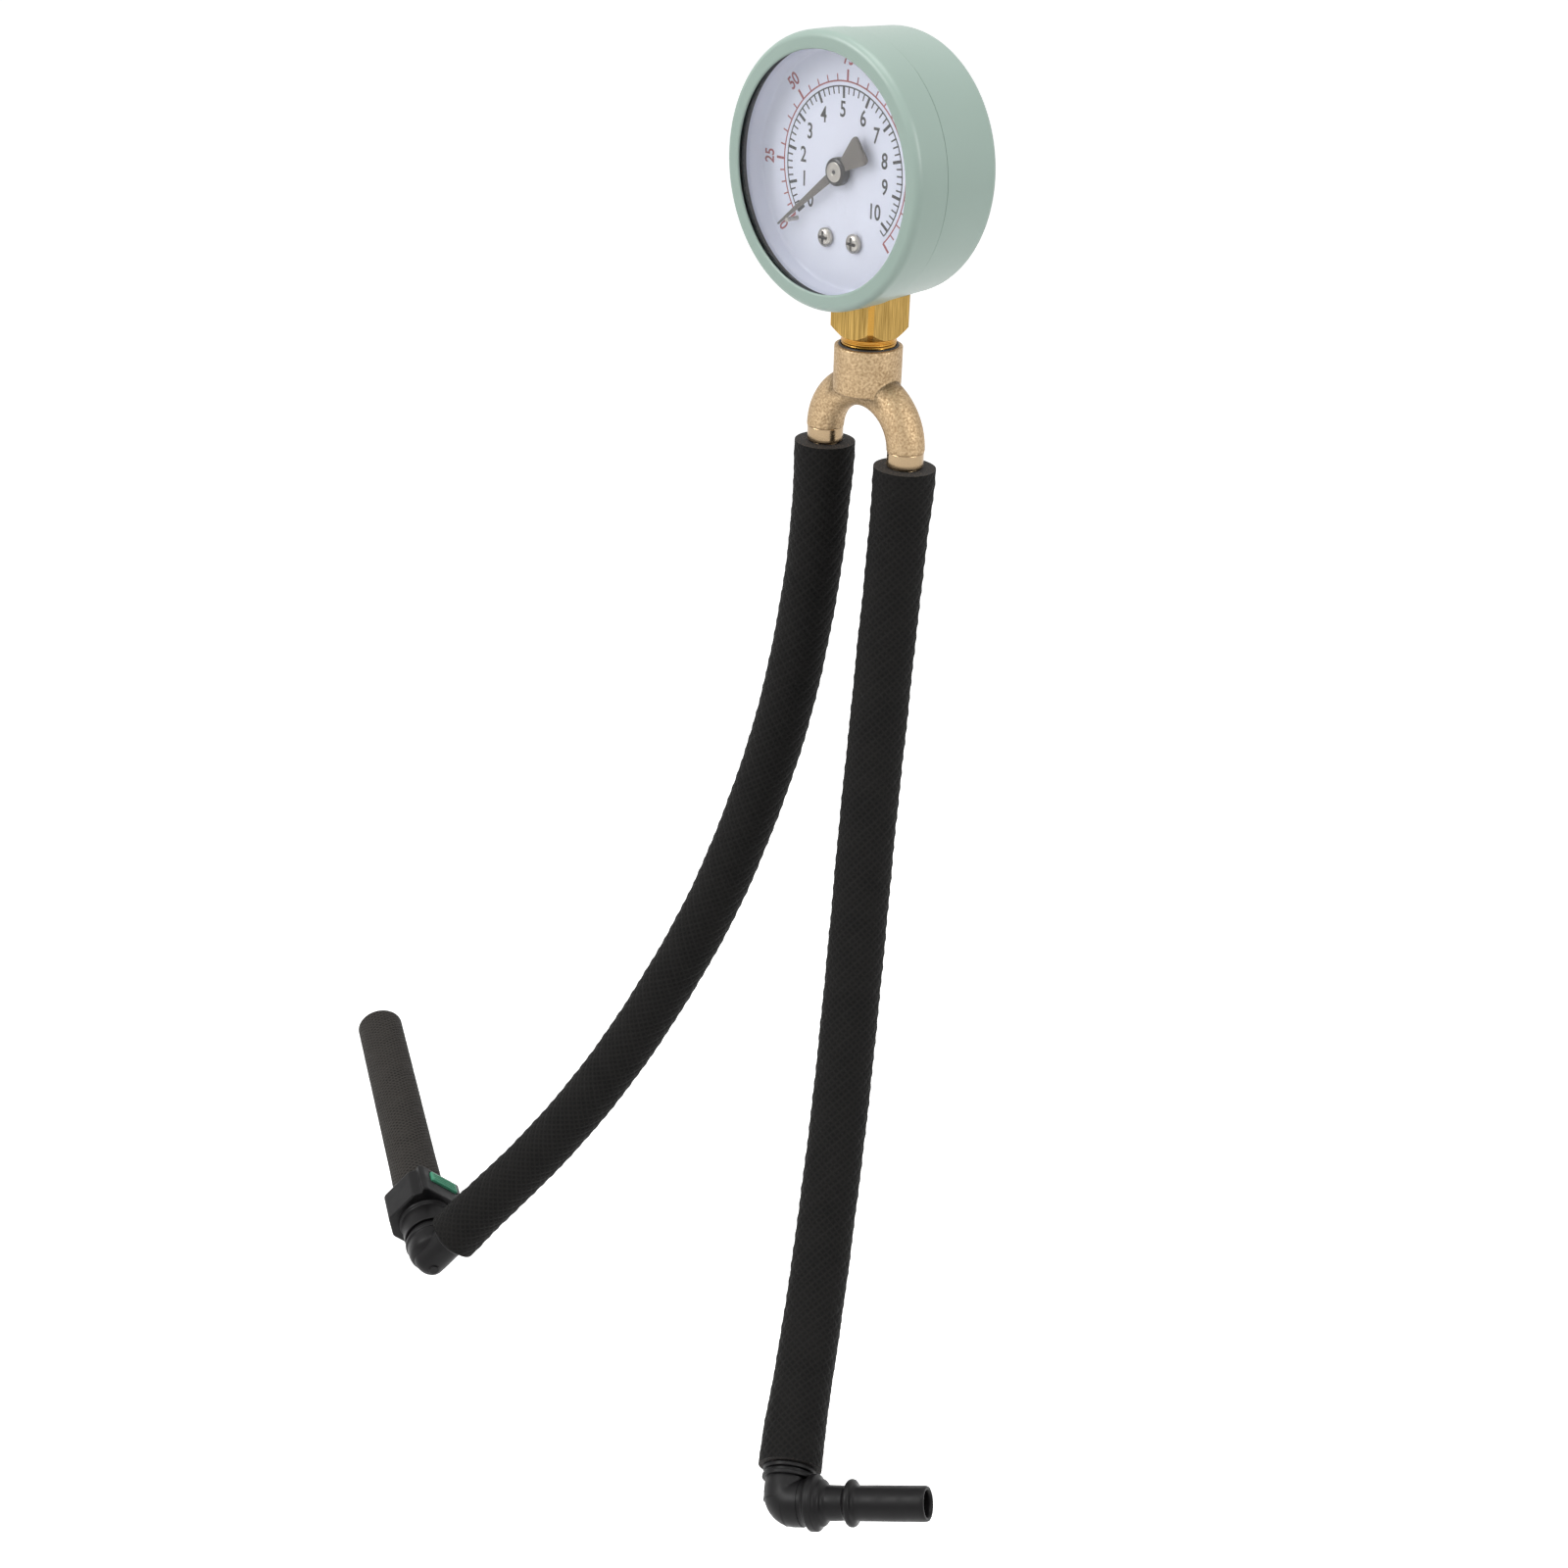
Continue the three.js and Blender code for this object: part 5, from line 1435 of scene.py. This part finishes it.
    def print_red(self) -> Piece:
        """The outer scale: an arc, short strokes and a longer one at each numbered value.

        Returns:
            The piece.
        """
        fives = np.arange(0, 31)
        places = (-90, -44, 1, 46.5, 91.5, 136.5)
        clocks = np.interp(fives, np.arange(0, 31, 5), [REST_CLOCK, *places])
        outer, width = np.where(fives % 5, 20.6, 21.6), np.where(fives % 5, 0.32, 0.55)
        surfaces = self.bars(clocks, self.red_radius, outer, width, RED_INK)
        surfaces.append(self.arc(self.red_radius, places[-1], 0.32, RED_INK))
        numbers = [self.number(str(25 * place), 23.9, clock, 3.0, clock, RED_INK)
                   for place, clock in enumerate([-128.5, *places])]
        return self.scale("dial_red_scale", surfaces, numbers)

    def build(self) -> list[Piece]:
        """Makes the plate, the print, the screws and the stop.

        Returns:
            The pieces.
        """
        pieces = [self.plate(), self.print_black(), self.print_red()]
        head = CrossHead(radius=2.15, crown=0.7, edge=0.6, shank=1.2, reach=6.8)
        for side, x in (("left", -self.screw_x), ("right", self.screw_x)):
            surfaces = head.surfaces((x, self.front - 1.6, -15.35), -1.0)
            pieces.append(piece(f"dial_pan_screw_{side}", surfaces, f"dial_screw_{side}"))
        low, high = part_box("pointer_stop_pin")
        low, high = np.array(low) / MM, np.array(high) / MM
        profile = softened([(0, low[1], 0), (0.5, low[1], 0.12), (0.5, high[1], 0.05), (0, high[1], 0)])
        x, _, z = (low + high) / 2
        pin = about_y(lathe(profile, BRIGHT_STEEL, 32)).shifted(x, 0, z)
        pieces.append(piece("dial_stop_pin", [pin], "pointer_stop_pin"))
        return pieces


@dataclass
class Pointer:
    """The stamped pointer with its spade counterweight, the dark collar and the bright hub."""

    back: float = -20.1
    front: float = -20.5

    def blade(self) -> Piece:
        """The blade: a needle that widens to a neck and a spade on the far side of the hub.

        Returns:
            The piece.
        """
        half = [(0.16, 23.4, 0), (0.2, 23.0, 0.1), (1.05, 2.9, 0.4), (1.35, -2.6, 0.4), (3.4, -9.0, 0.8),
                (2.9, -10.0, 0.6), (0, -10.0, 0)]
        right = softened([(0, 23.4, 0), *half])
        left = right[::-1] * np.array([-1, 1])
        loop = np.vstack([right, left[1:]])
        turn = math.radians(REST_CLOCK)
        across = np.array([math.cos(turn), 0, -math.sin(turn)])
        ahead = np.array([math.sin(turn), 0, math.cos(turn)])
        spine = loop * np.array([0, 1])
        levels = [(spine, self.back), (loop, self.back), (loop, self.front + 0.1), (loop * 0.97, self.front),
                  (spine, self.front)]
        rows = [level[:, :1] * across + level[:, 1:] * ahead + np.array([0, depth, 0])
                for level, depth in levels]
        surfaces = [Surface(np.stack(rows), POINTER_PAINT)]
        return piece("pointer_stamped_blade", surfaces, "pointer_blade", 50, Body.POINTER)

    def hub(self) -> Piece:
        """The collar under the cap, the bright cap and the arbor's end in its middle.

        Returns:
            The piece.
        """
        collar = softened([(0, -19.0, 0), (3.1, -19.0, 0.1), (3.1, -20.6, 0.35), (2.5, -20.95, 0.2),
                           (0, -20.95, 0)])
        cap = softened([(0, -20.9, 0), (2.2, -20.9, 0.05), (2.2, -21.15, 0.2), (0.75, -21.2, 0.1),
                        (0.65, -21.0, 0.05), (0, -21.0, 0)])
        end = softened([(0, -20.9, 0), (0.45, -20.9, 0), (0.45, -21.15, 0.15), (0, -21.18, 0)])
        bush = softened([(0, -18.6, 0), (1.25, -18.6, 0.1), (1.25, -19.1, 0), (0, -19.1, 0)])
        finishes = [(collar, COLLAR_PAINT), (cap, BRIGHT_STEEL), (end, COLLAR_PAINT), (bush, BRIGHT_STEEL)]
        surfaces = [about_y(lathe(profile, finish, FITTING_SIDES)) for profile, finish in finishes]
        made = write_mesh("pointer_hub_and_cap", surfaces)
        return settle(made, "pointer_hub", Body.POINTER)

    def build(self) -> list[Piece]:
        """Makes the pointer's pieces."""
        return [self.blade(), self.hub()]


@dataclass
class Stem:
    """The square brass stem: bevelled bar, turned foot, threaded spigot and the block inside the case."""

    half: float = 7.0
    bevel: float = 0.95
    thread_pitch: float = 0.907
    neck: tuple[float, float] = (-38.84, -40.6)

    def bar(self) -> list[Surface]:
        """The bar's radius at a turn is the least of the square's, the bevel's and the turned foot's.

        Returns:
            The flats, the bright bevels between them and the turned foot with its rings and thread.
        """
        turn = np.linspace(0, 2 * np.pi, 361)
        runs = ((-23.5, -34.0, 12), (-34.2, -38.8, 48), (-38.85, -40.6, 10), (-40.7, -49.8, 110))
        heights = np.concatenate([np.linspace(*run) for run in runs])[:, None]
        fold = np.abs((turn + np.pi / 4) % (np.pi / 2) - np.pi / 4)
        square = self.half / np.cos(fold)
        bevelled = (2 * self.half - self.bevel) / math.sqrt(2) / np.cos(np.pi / 4 - fold)
        depths, reach = [0, 36.0, 38.8, 38.84, 40.6, 49.0, 49.8], [12, 9.9, 7.1, 6.55, 6.55, 6.4, 5.6]
        foot = np.interp(-heights, depths, reach)
        wave = np.abs(((heights / self.thread_pitch + turn / (2 * np.pi)) % 1) - 0.5)
        thread = np.where(heights < self.neck[1], 0.5 * wave - 0.35, 0)
        radius = np.minimum(np.minimum(square, bevelled) + 0 * heights, foot + thread)
        inside = (heights < self.neck[0]) & (heights > self.neck[1])
        radius = radius + np.where(inside, 0.14 * np.cos(2 * np.pi * heights / 0.85), 0)
        points = ring_of(radius, turn, heights)
        bar = np.count_nonzero(heights > -38.82)
        corner = bevelled < square
        cuts = [0, *(np.flatnonzero(np.diff(corner)) + 1), len(turn) - 1]
        strips = [Surface(points[:bar, start:end + 1], NECK_BRASS if corner[start] else STEM_BRASS)
                  for start, end in zip(cuts[:-1], cuts[1:])]
        top = np.concatenate([points[:1] * np.array([0, 0, 1]), points[:1]])
        foot_end = np.concatenate([points[bar - 1:], points[-1:] * np.array([0, 0, 1])])
        surfaces = [*strips, Surface(top, STEM_BRASS), Surface(foot_end, NECK_BRASS)]
        return [upright(surface) for surface in surfaces]

    def build(self) -> list[Piece]:
        """Makes the stem and trims the part that would stand inside the case.

        Returns:
            The stem and the block inside the case.
        """
        block = rounded_box((-6.4, -15.1, -30.5), (6.4, -1.3, -17.2), STEM_BRASS, 0.25)
        lug = rounded_box((-6.4, -15.1, -18.5), (6.4, -12.4, -13.0), STEM_BRASS, 0.25)
        room = softened([(0, 3, 0), (29.7, 3, 0), (30.25, -17.0, 0), (30.6, -17.2, 0), (30.6, -24, 0),
                         (0, -24, 0)])
        cutter = write_mesh("room", [about_y(lathe(room, STEM_BRASS, CASE_SIDES))])
        made = carved(write_mesh("stem_square_brass", self.bar(), CUT_EDGE), [cutter], CUT_EDGE)
        return [settle(made, "stem_block"), piece("stem_inner_block", [block, lug])]


@dataclass
class Wye:
    """The cast wye: a socket on two arms, with turned stubs that carry the hoses."""

    spread: float = 13.55
    rise: float = 12.7
    arm_end: float = -64.1
    grain_step: float = 0.26

    def arms(self) -> Surface:
        """Both arms in one sweep over the top: half an ellipse, closed at its two ends.

        Returns:
            The surface.
        """
        turn = np.linspace(np.pi, 0, 90)
        heights = self.arm_end + self.rise * np.sin(turn)
        path = np.stack([self.spread * np.cos(turn), 0 * turn, heights], axis=1)
        radii = np.concatenate([[0], 4.6 + 0.15 * np.sin(turn), [0]])
        return tube(np.vstack([path[:1], path, path[-1:]]), radii, CAST_BRASS, 48)

    def casting(self) -> Piece:
        """The casting: socket and arms melted into one skin, with the fillets that a mould leaves.

        Returns:
            The piece.
        """
        socket = softened([(0, -52.1, 0), (8.1, -52.3, 0.6), (8.2, -49, 0.5), (8.2, -41.1, 0.3),
                           (0, -41.1, 0)])
        solids = [lathe(socket, CAST_BRASS, FITTING_SIDES), self.arms()]
        made = melted(write_mesh("wye_cast_body", [upright(solid) for solid in solids]), self.grain_step, 3)
        bore = np.array([(0, -50.1), (6.9, -50.1), (6.9, -40), (0, -40)], float)
        cutter = write_mesh("bore", [upright(lathe(bore, CAST_BRASS, FITTING_SIDES))])
        return painted(carved(made, [cutter], 60), CAST_BRASS)

    def turned(self) -> list[Surface]:
        """The turned surfaces: each stub with its barbs and passage.

        Returns:
            Both stubs.
        """
        start = self.arm_end
        stub = softened([
            (2.1, -77.0, 0), *barbs(-67.7, -1)[::-1], (4.45, -67.7, 0.3), (4.45, start - 0.1, 0.15),
            (4.2, start + 0.2, 0), (2.1, start + 0.2, 0), (2.1, -77.0, 0),
        ])
        return [upright(lathe(stub, STUB_BRASS, FITTING_SIDES), x) for x in (-self.spread, self.spread)]

    def build(self) -> list[Piece]:
        """Makes the casting, its turned surfaces and the sealant in the socket's mouth.

        Returns:
            The pieces.
        """
        bead = softened([(6.75, -40.8, 0), (7.1, -40.75, 0.3), (7.35, -41.2, 0.3), (7.2, -41.7, 0.2),
                         (6.75, -41.7, 0.2), (6.75, -40.8, 0)])
        return [settle(self.casting(), "wye_fitting"), piece("wye_turned_stubs", self.turned()),
                piece("stem_thread_sealant", [upright(lathe(bead, SEAL_RUBBER))], "thread_sealant")]


@dataclass
class MaleElbow:
    """The moulded elbow on the right hose: rings, bend, collar, neck, bead and open spigot."""

    frame: FittingFrame = field(
        default_factory=lambda: FittingFrame(RIGHT_ROUTE, (0.826, 0.477, 0.299), 8.1))
    nose: float = 35.2

    def leg(self) -> Surface:
        """The leg in the hose, with two thin rings and a barbed nipple.

        Returns:
            The surface.
        """
        foot = 7.8
        profile = softened([
            (0, 0, 0), (5.3, 0, 0), (5.3, 5.0, 0.15), (6.3, 5.05, 0.2), (6.3, 5.95, 0.2), (5.4, 6.0, 0.15),
            (5.4, 6.8, 0.15), (6.3, 6.85, 0.2), (6.3, foot, 0.2), *barbs(foot, 1), (2.2, 17.1, 0),
            (2.2, 12, 0), (0, 12, 0),
        ])
        return self.frame.along_hose(lathe(profile, BLACK_NYLON, FITTING_SIDES))

    def bend(self) -> Surface:
        """The bend: a quarter turn from the leg into the spigot, closed at both ends.

        Returns:
            The surface.
        """
        turn = np.linspace(0, np.pi / 2, 18)
        radius = 2.6
        arc = np.stack([radius * (1 - np.sin(turn)), 0 * turn, radius * (1 - np.cos(turn))], axis=1)
        path = np.vstack([[4.6, 0, 0], [4.6, 0, 0], [3.4, 0, 0], arc, [0, 0, 3.4], [0, 0, 4.6], [0, 0, 4.6]])
        radii = np.concatenate([[0], np.full(len(path) - 2, 5.45), [0]])
        return self.frame.along_heading(tube(path, radii, BLACK_NYLON, FITTING_SIDES))

    def spigot(self) -> Surface:
        """The spigot: dished collar, neck, bead and an open nose with a bore.

        Returns:
            The surface.
        """
        nose = self.nose
        profile = softened([
            (0, 0.5, 0), (5.3, 0.5, 0), (5.3, 5.6, 0.4), (5.7, 6.2, 0.3), (6.4, 6.6, 0.5), (6.35, 8.3, 0.3),
            (5.4, 8.9, 0.5), (5.2, 9.8, 0.4), (4.0, 10.6, 0.6), (3.85, 15.2, 0.3), (4.3, 15.6, 0.3),
            (5.3, 16.2, 0.6), (5.3, 17.3, 0.6), (4.3, 17.8, 0.3), (3.945, 18.3, 0.4),
            (3.945, nose - 0.1, 1.1), (3.2, nose, 0.4), (2.85, nose - 0.6, 0.3), (2.85, 6, 0), (0, 6, 0),
        ])
        return self.frame.along_heading(lathe(profile, BLACK_NYLON))

    def build(self) -> list[Piece]:
        """Makes the elbow as one moulding."""
        surfaces = [self.leg(), self.bend(), self.spigot()]
        return [piece("male_elbow_moulding", surfaces, "male_elbow", MOULDED_EDGE)]


@dataclass
class Connector:
    """The female quick connector on the left hose: welded elbow, housing, seals, button and plug."""

    frame: FittingFrame = field(
        default_factory=lambda: FittingFrame(LEFT_ROUTE, (-0.897, 0.439, 0.062), 8.0))
    head_low: float = 14.8
    head_high: float = 25.2
    tail_start: float = 27.0
    tail_length: float = 82.0
    skin_step: float = 0.16

    def elbow(self) -> Piece:
        """The welded elbow: a shouldered cap, a round-ended leg across it, a gate mark and a flange.

        Returns:
            The piece.
        """
        cap = softened([
            (0, -1.4, 0), (4.6, -1.4, 1.0), (6.6, 0.2, 1.2), (7.0, 2.2, 0.6), (7.0, 4.2, 0.2),
            (7.4, 4.6, 0.3), (7.4, 5.7, 0.3), (6.5, 5.9, 0.2), (6.5, 7.2, 0.1), (6.2, 8.2, 0.1),
            (4.3, 8.2, 0), (4.3, 4.6, 0), (0, 4.6, 0),
        ])
        gate = softened([(0, -3, 0), (1.4, -3, 0), (1.4, -5.3, 0.2), (0, -5.3, 0)])
        leg = softened([
            (0, -5.4, 0), (2.6, -5.4, 1.6), (4.85, -3.4, 2.2), (4.95, 0, 0.6), (4.95, 6.2, 0.2),
            (5.5, 6.5, 0.3), (5.5, 7.7, 0.2), *barbs(7.7, 1), (2.2, 17.0, 0), (2.2, 10, 0), (0, 10, 0),
        ])
        mark = lathe(gate, BLACK_NYLON, 32).shifted(-1.3, 0, 0)
        surfaces = [self.frame.along_heading(lathe(cap, BLACK_NYLON)), self.frame.along_heading(mark),
                    self.frame.along_hose(lathe(leg, BLACK_NYLON, FITTING_SIDES))]
        return piece("connector_welded_elbow", surfaces, "connector_elbow", MOULDED_EDGE)

    def head_outline(self) -> Array:
        """The head's outline: chamfered corners, and a V notch beside the button on one of them.

        Returns:
            The outline's points.
        """
        return rounded_outline([
            (9.2, 6.6, 0.5), (9.2, -7.4, 0.4), (8.6, -8.9, 0.5), (7.2, -8.1, 0.4), (5.2, -9.5, 0.6),
            (-5.6, -9.5, 0.7), (-9.8, -4.0, 0.7), (-9.8, 4.0, 0.7), (-5.6, 9.5, 0.7), (7.0, 9.5, 0.6),
        ])

    def housing(self) -> list[Piece]:
        """The housing: a barrel and a notched head, cut open for the button and the plug.

        Returns:
            The head and the barrel.
        """
        barrel = softened([
            (5.75, 7.5, 0), (7.25, 7.5, 0.25), (7.3, 10.4, 0), (7.3, 13.6, 0.3), (7.9, 14.2, 0.4),
            (7.9, 15.6, 0), (5.75, 15.6, 0), (5.75, 7.5, 0),
        ])
        head = prism(self.head_outline(), self.head_low, self.head_high, BLACK_NYLON, 0.5)
        made = write_mesh("connector_housing_head", [self.frame.along_heading(head)])
        made = melted(made, self.skin_step, 2)
        bore = np.array([(0, 14), (5.75, 14), (5.75, 28), (0, 28)], float)
        solids = [
            lathe(bore, BLACK_NYLON, FITTING_SIDES),
            rounded_box((-6.7, -7.5, 19.7), (8.0, 7.5, 23.9), BLACK_NYLON, 0.1),
            rounded_box((0, -5.3, 19.7), (11.5, 5.3, 23.9), BLACK_NYLON, 0.3),
        ]
        cutters = [write_mesh("cutter", [self.frame.along_heading(solid)]) for solid in solids]
        made = painted(carved(made, cutters, MOULDED_EDGE), BLACK_NYLON)
        barrel_surface = self.frame.along_heading(lathe(barrel, BLACK_NYLON))
        return [settle(made, "connector_housing"),
                piece("connector_barrel", [barrel_surface], sharp=MOULDED_EDGE)]

    def button(self) -> Piece:
        """The release button: a pad with a grip of raised bars on a yoke that straddles the plug.

        Returns:
            The piece.
        """
        low, high = 20.0, 23.6
        solids = [
            rounded_box((5.9, -7.2, low), (7.5, 7.2, high), GREEN_ACETAL, 0.2),
            rounded_box((-4.9, -7.2, low), (7.5, -5.9, high), GREEN_ACETAL, 0.2),
            rounded_box((-4.9, 5.9, low), (7.5, 7.2, high), GREEN_ACETAL, 0.2),
            rounded_box((5.9, -5.0, low), (9.9, 5.0, high), GREEN_ACETAL, 0.45),
        ]
        for z in (20.9, 21.8, 22.7):
            solids.append(rounded_box((9.6, -4.2, z - 0.18), (10.05, 4.2, z + 0.18), GREEN_ACETAL, 0.12))
        surfaces = [self.frame.along_heading(solid) for solid in solids]
        return piece("connector_release_button", surfaces, "release_button", MOULDED_EDGE, Body.BUTTON)

    def plug(self) -> Piece:
        """The plug nipple: a nose, a bead behind the button's yoke, a flange and barbs.

        Returns:
            The piece.
        """
        profile = softened([
            (2.2, 4.9, 0), (3.3, 4.8, 0.3), (3.945, 5.5, 0.5), (3.945, 17.9, 0.3), (5.3, 18.3, 0.5),
            (5.3, 19.5, 0.5), (3.945, 19.8, 0.3), (3.945, 25.5, 0.1), (6.4, 25.5, 0.2), (6.4, 26.7, 0.2),
            *barbs(26.7, 1),
            (2.2, 36.0, 0), (2.2, 4.9, 0),
        ])
        surface = self.frame.along_heading(lathe(profile, BLACK_NYLON, FITTING_SIDES))
        return piece("connector_plug_nipple", [surface], "plug_nipple", MOULDED_EDGE, Body.PLUG)

    def tail(self) -> Piece:
        """The tail hose, straight along the heading.

        Returns:
            The piece.
        """
        reach = np.linspace(self.tail_start, self.tail_start + self.tail_length, 6)
        route = self.frame.corner() + reach[:, None] * self.frame.axes()[:, 2]
        hose = Hose("tail_hose", route, 288, TAIL_COVER, Body.PLUG, radius=7.1, flare=0.15, flare_run=9.0,
                    strands=22, relief=0.03, flared_ends=(1.0, 0.0), sides=156)
        return hose.build()

    def build(self) -> list[Piece]:
        """Makes the connector's pieces and returns them with the tail hose."""
        return [self.elbow(), *self.housing(), self.button(), self.plug(), self.tail()]


@dataclass
class Movement:
    """The finishes of the pieces that stay as the frame's own solids, mostly inside the case."""

    finishes: dict[Finish, tuple[str, ...]] = field(default_factory=lambda: {
        MOVEMENT_BRASS: ("movement_front_plate", "movement_back_plate", "pillar_upper", "pillar_lower",
                         "sector_gear", "tube_end_piece"),
        BRIGHT_STEEL: ("pillar_screw_upper", "pillar_screw_lower", "sector_arbor", "pinion_arbor", "tip_link",
                       "hairspring_stud"),
        SPRING_BRONZE: ("hairspring", "bourdon_tube"),
        SEAL_RUBBER: ("o_ring_inner", "o_ring_outer"),
        PALE_NYLON: ("o_ring_spacer", "retaining_bush"),
    })

    def build(self) -> None:
        """Gives each carried-over node its finish."""
        for finish, names in self.finishes.items():
            for name in names:
                painted(frame["nodes"][name], finish)
                LOG.info("%s keeps its solid and gets %s", name, finish.name)


def declare_cords(hoses: Sequence[Hose]) -> None:
    """Logs the length of each hose.

    Args:
        hoses: The two free hoses.
    """
    for hose in hoses:
        hose.length() * MM
        LOG.info("%s is a hose %.0f mm long", hose.name, hose.length())


def main() -> None:
    """Builds the gauge: camera and hoses first, then every sub-assembly, then the studio."""
    logging.basicConfig(level=logging.INFO, format="%(name)s: %(message)s")
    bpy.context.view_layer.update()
    bpy.context.scene.view_settings.view_transform = "Standard"
    Viewpoint().build()
    hoses = [Hose("hose_left", LEFT_ROUTE, 700, HOSE_COVER), Hose("hose_right", RIGHT_ROUTE, 690, HOSE_COVER)]
    covers = {hose.name: hose.build() for hose in hoses}
    elbow = MaleElbow().build()
    connector = Connector().build()
    declare_cords(hoses)
    for assembly in (Case, Dial, Pointer, Stem, Wye, Movement, Studio):
        assembly().build()
    bpy.context.view_layer.update()


if __name__ == "__main__":
    main()
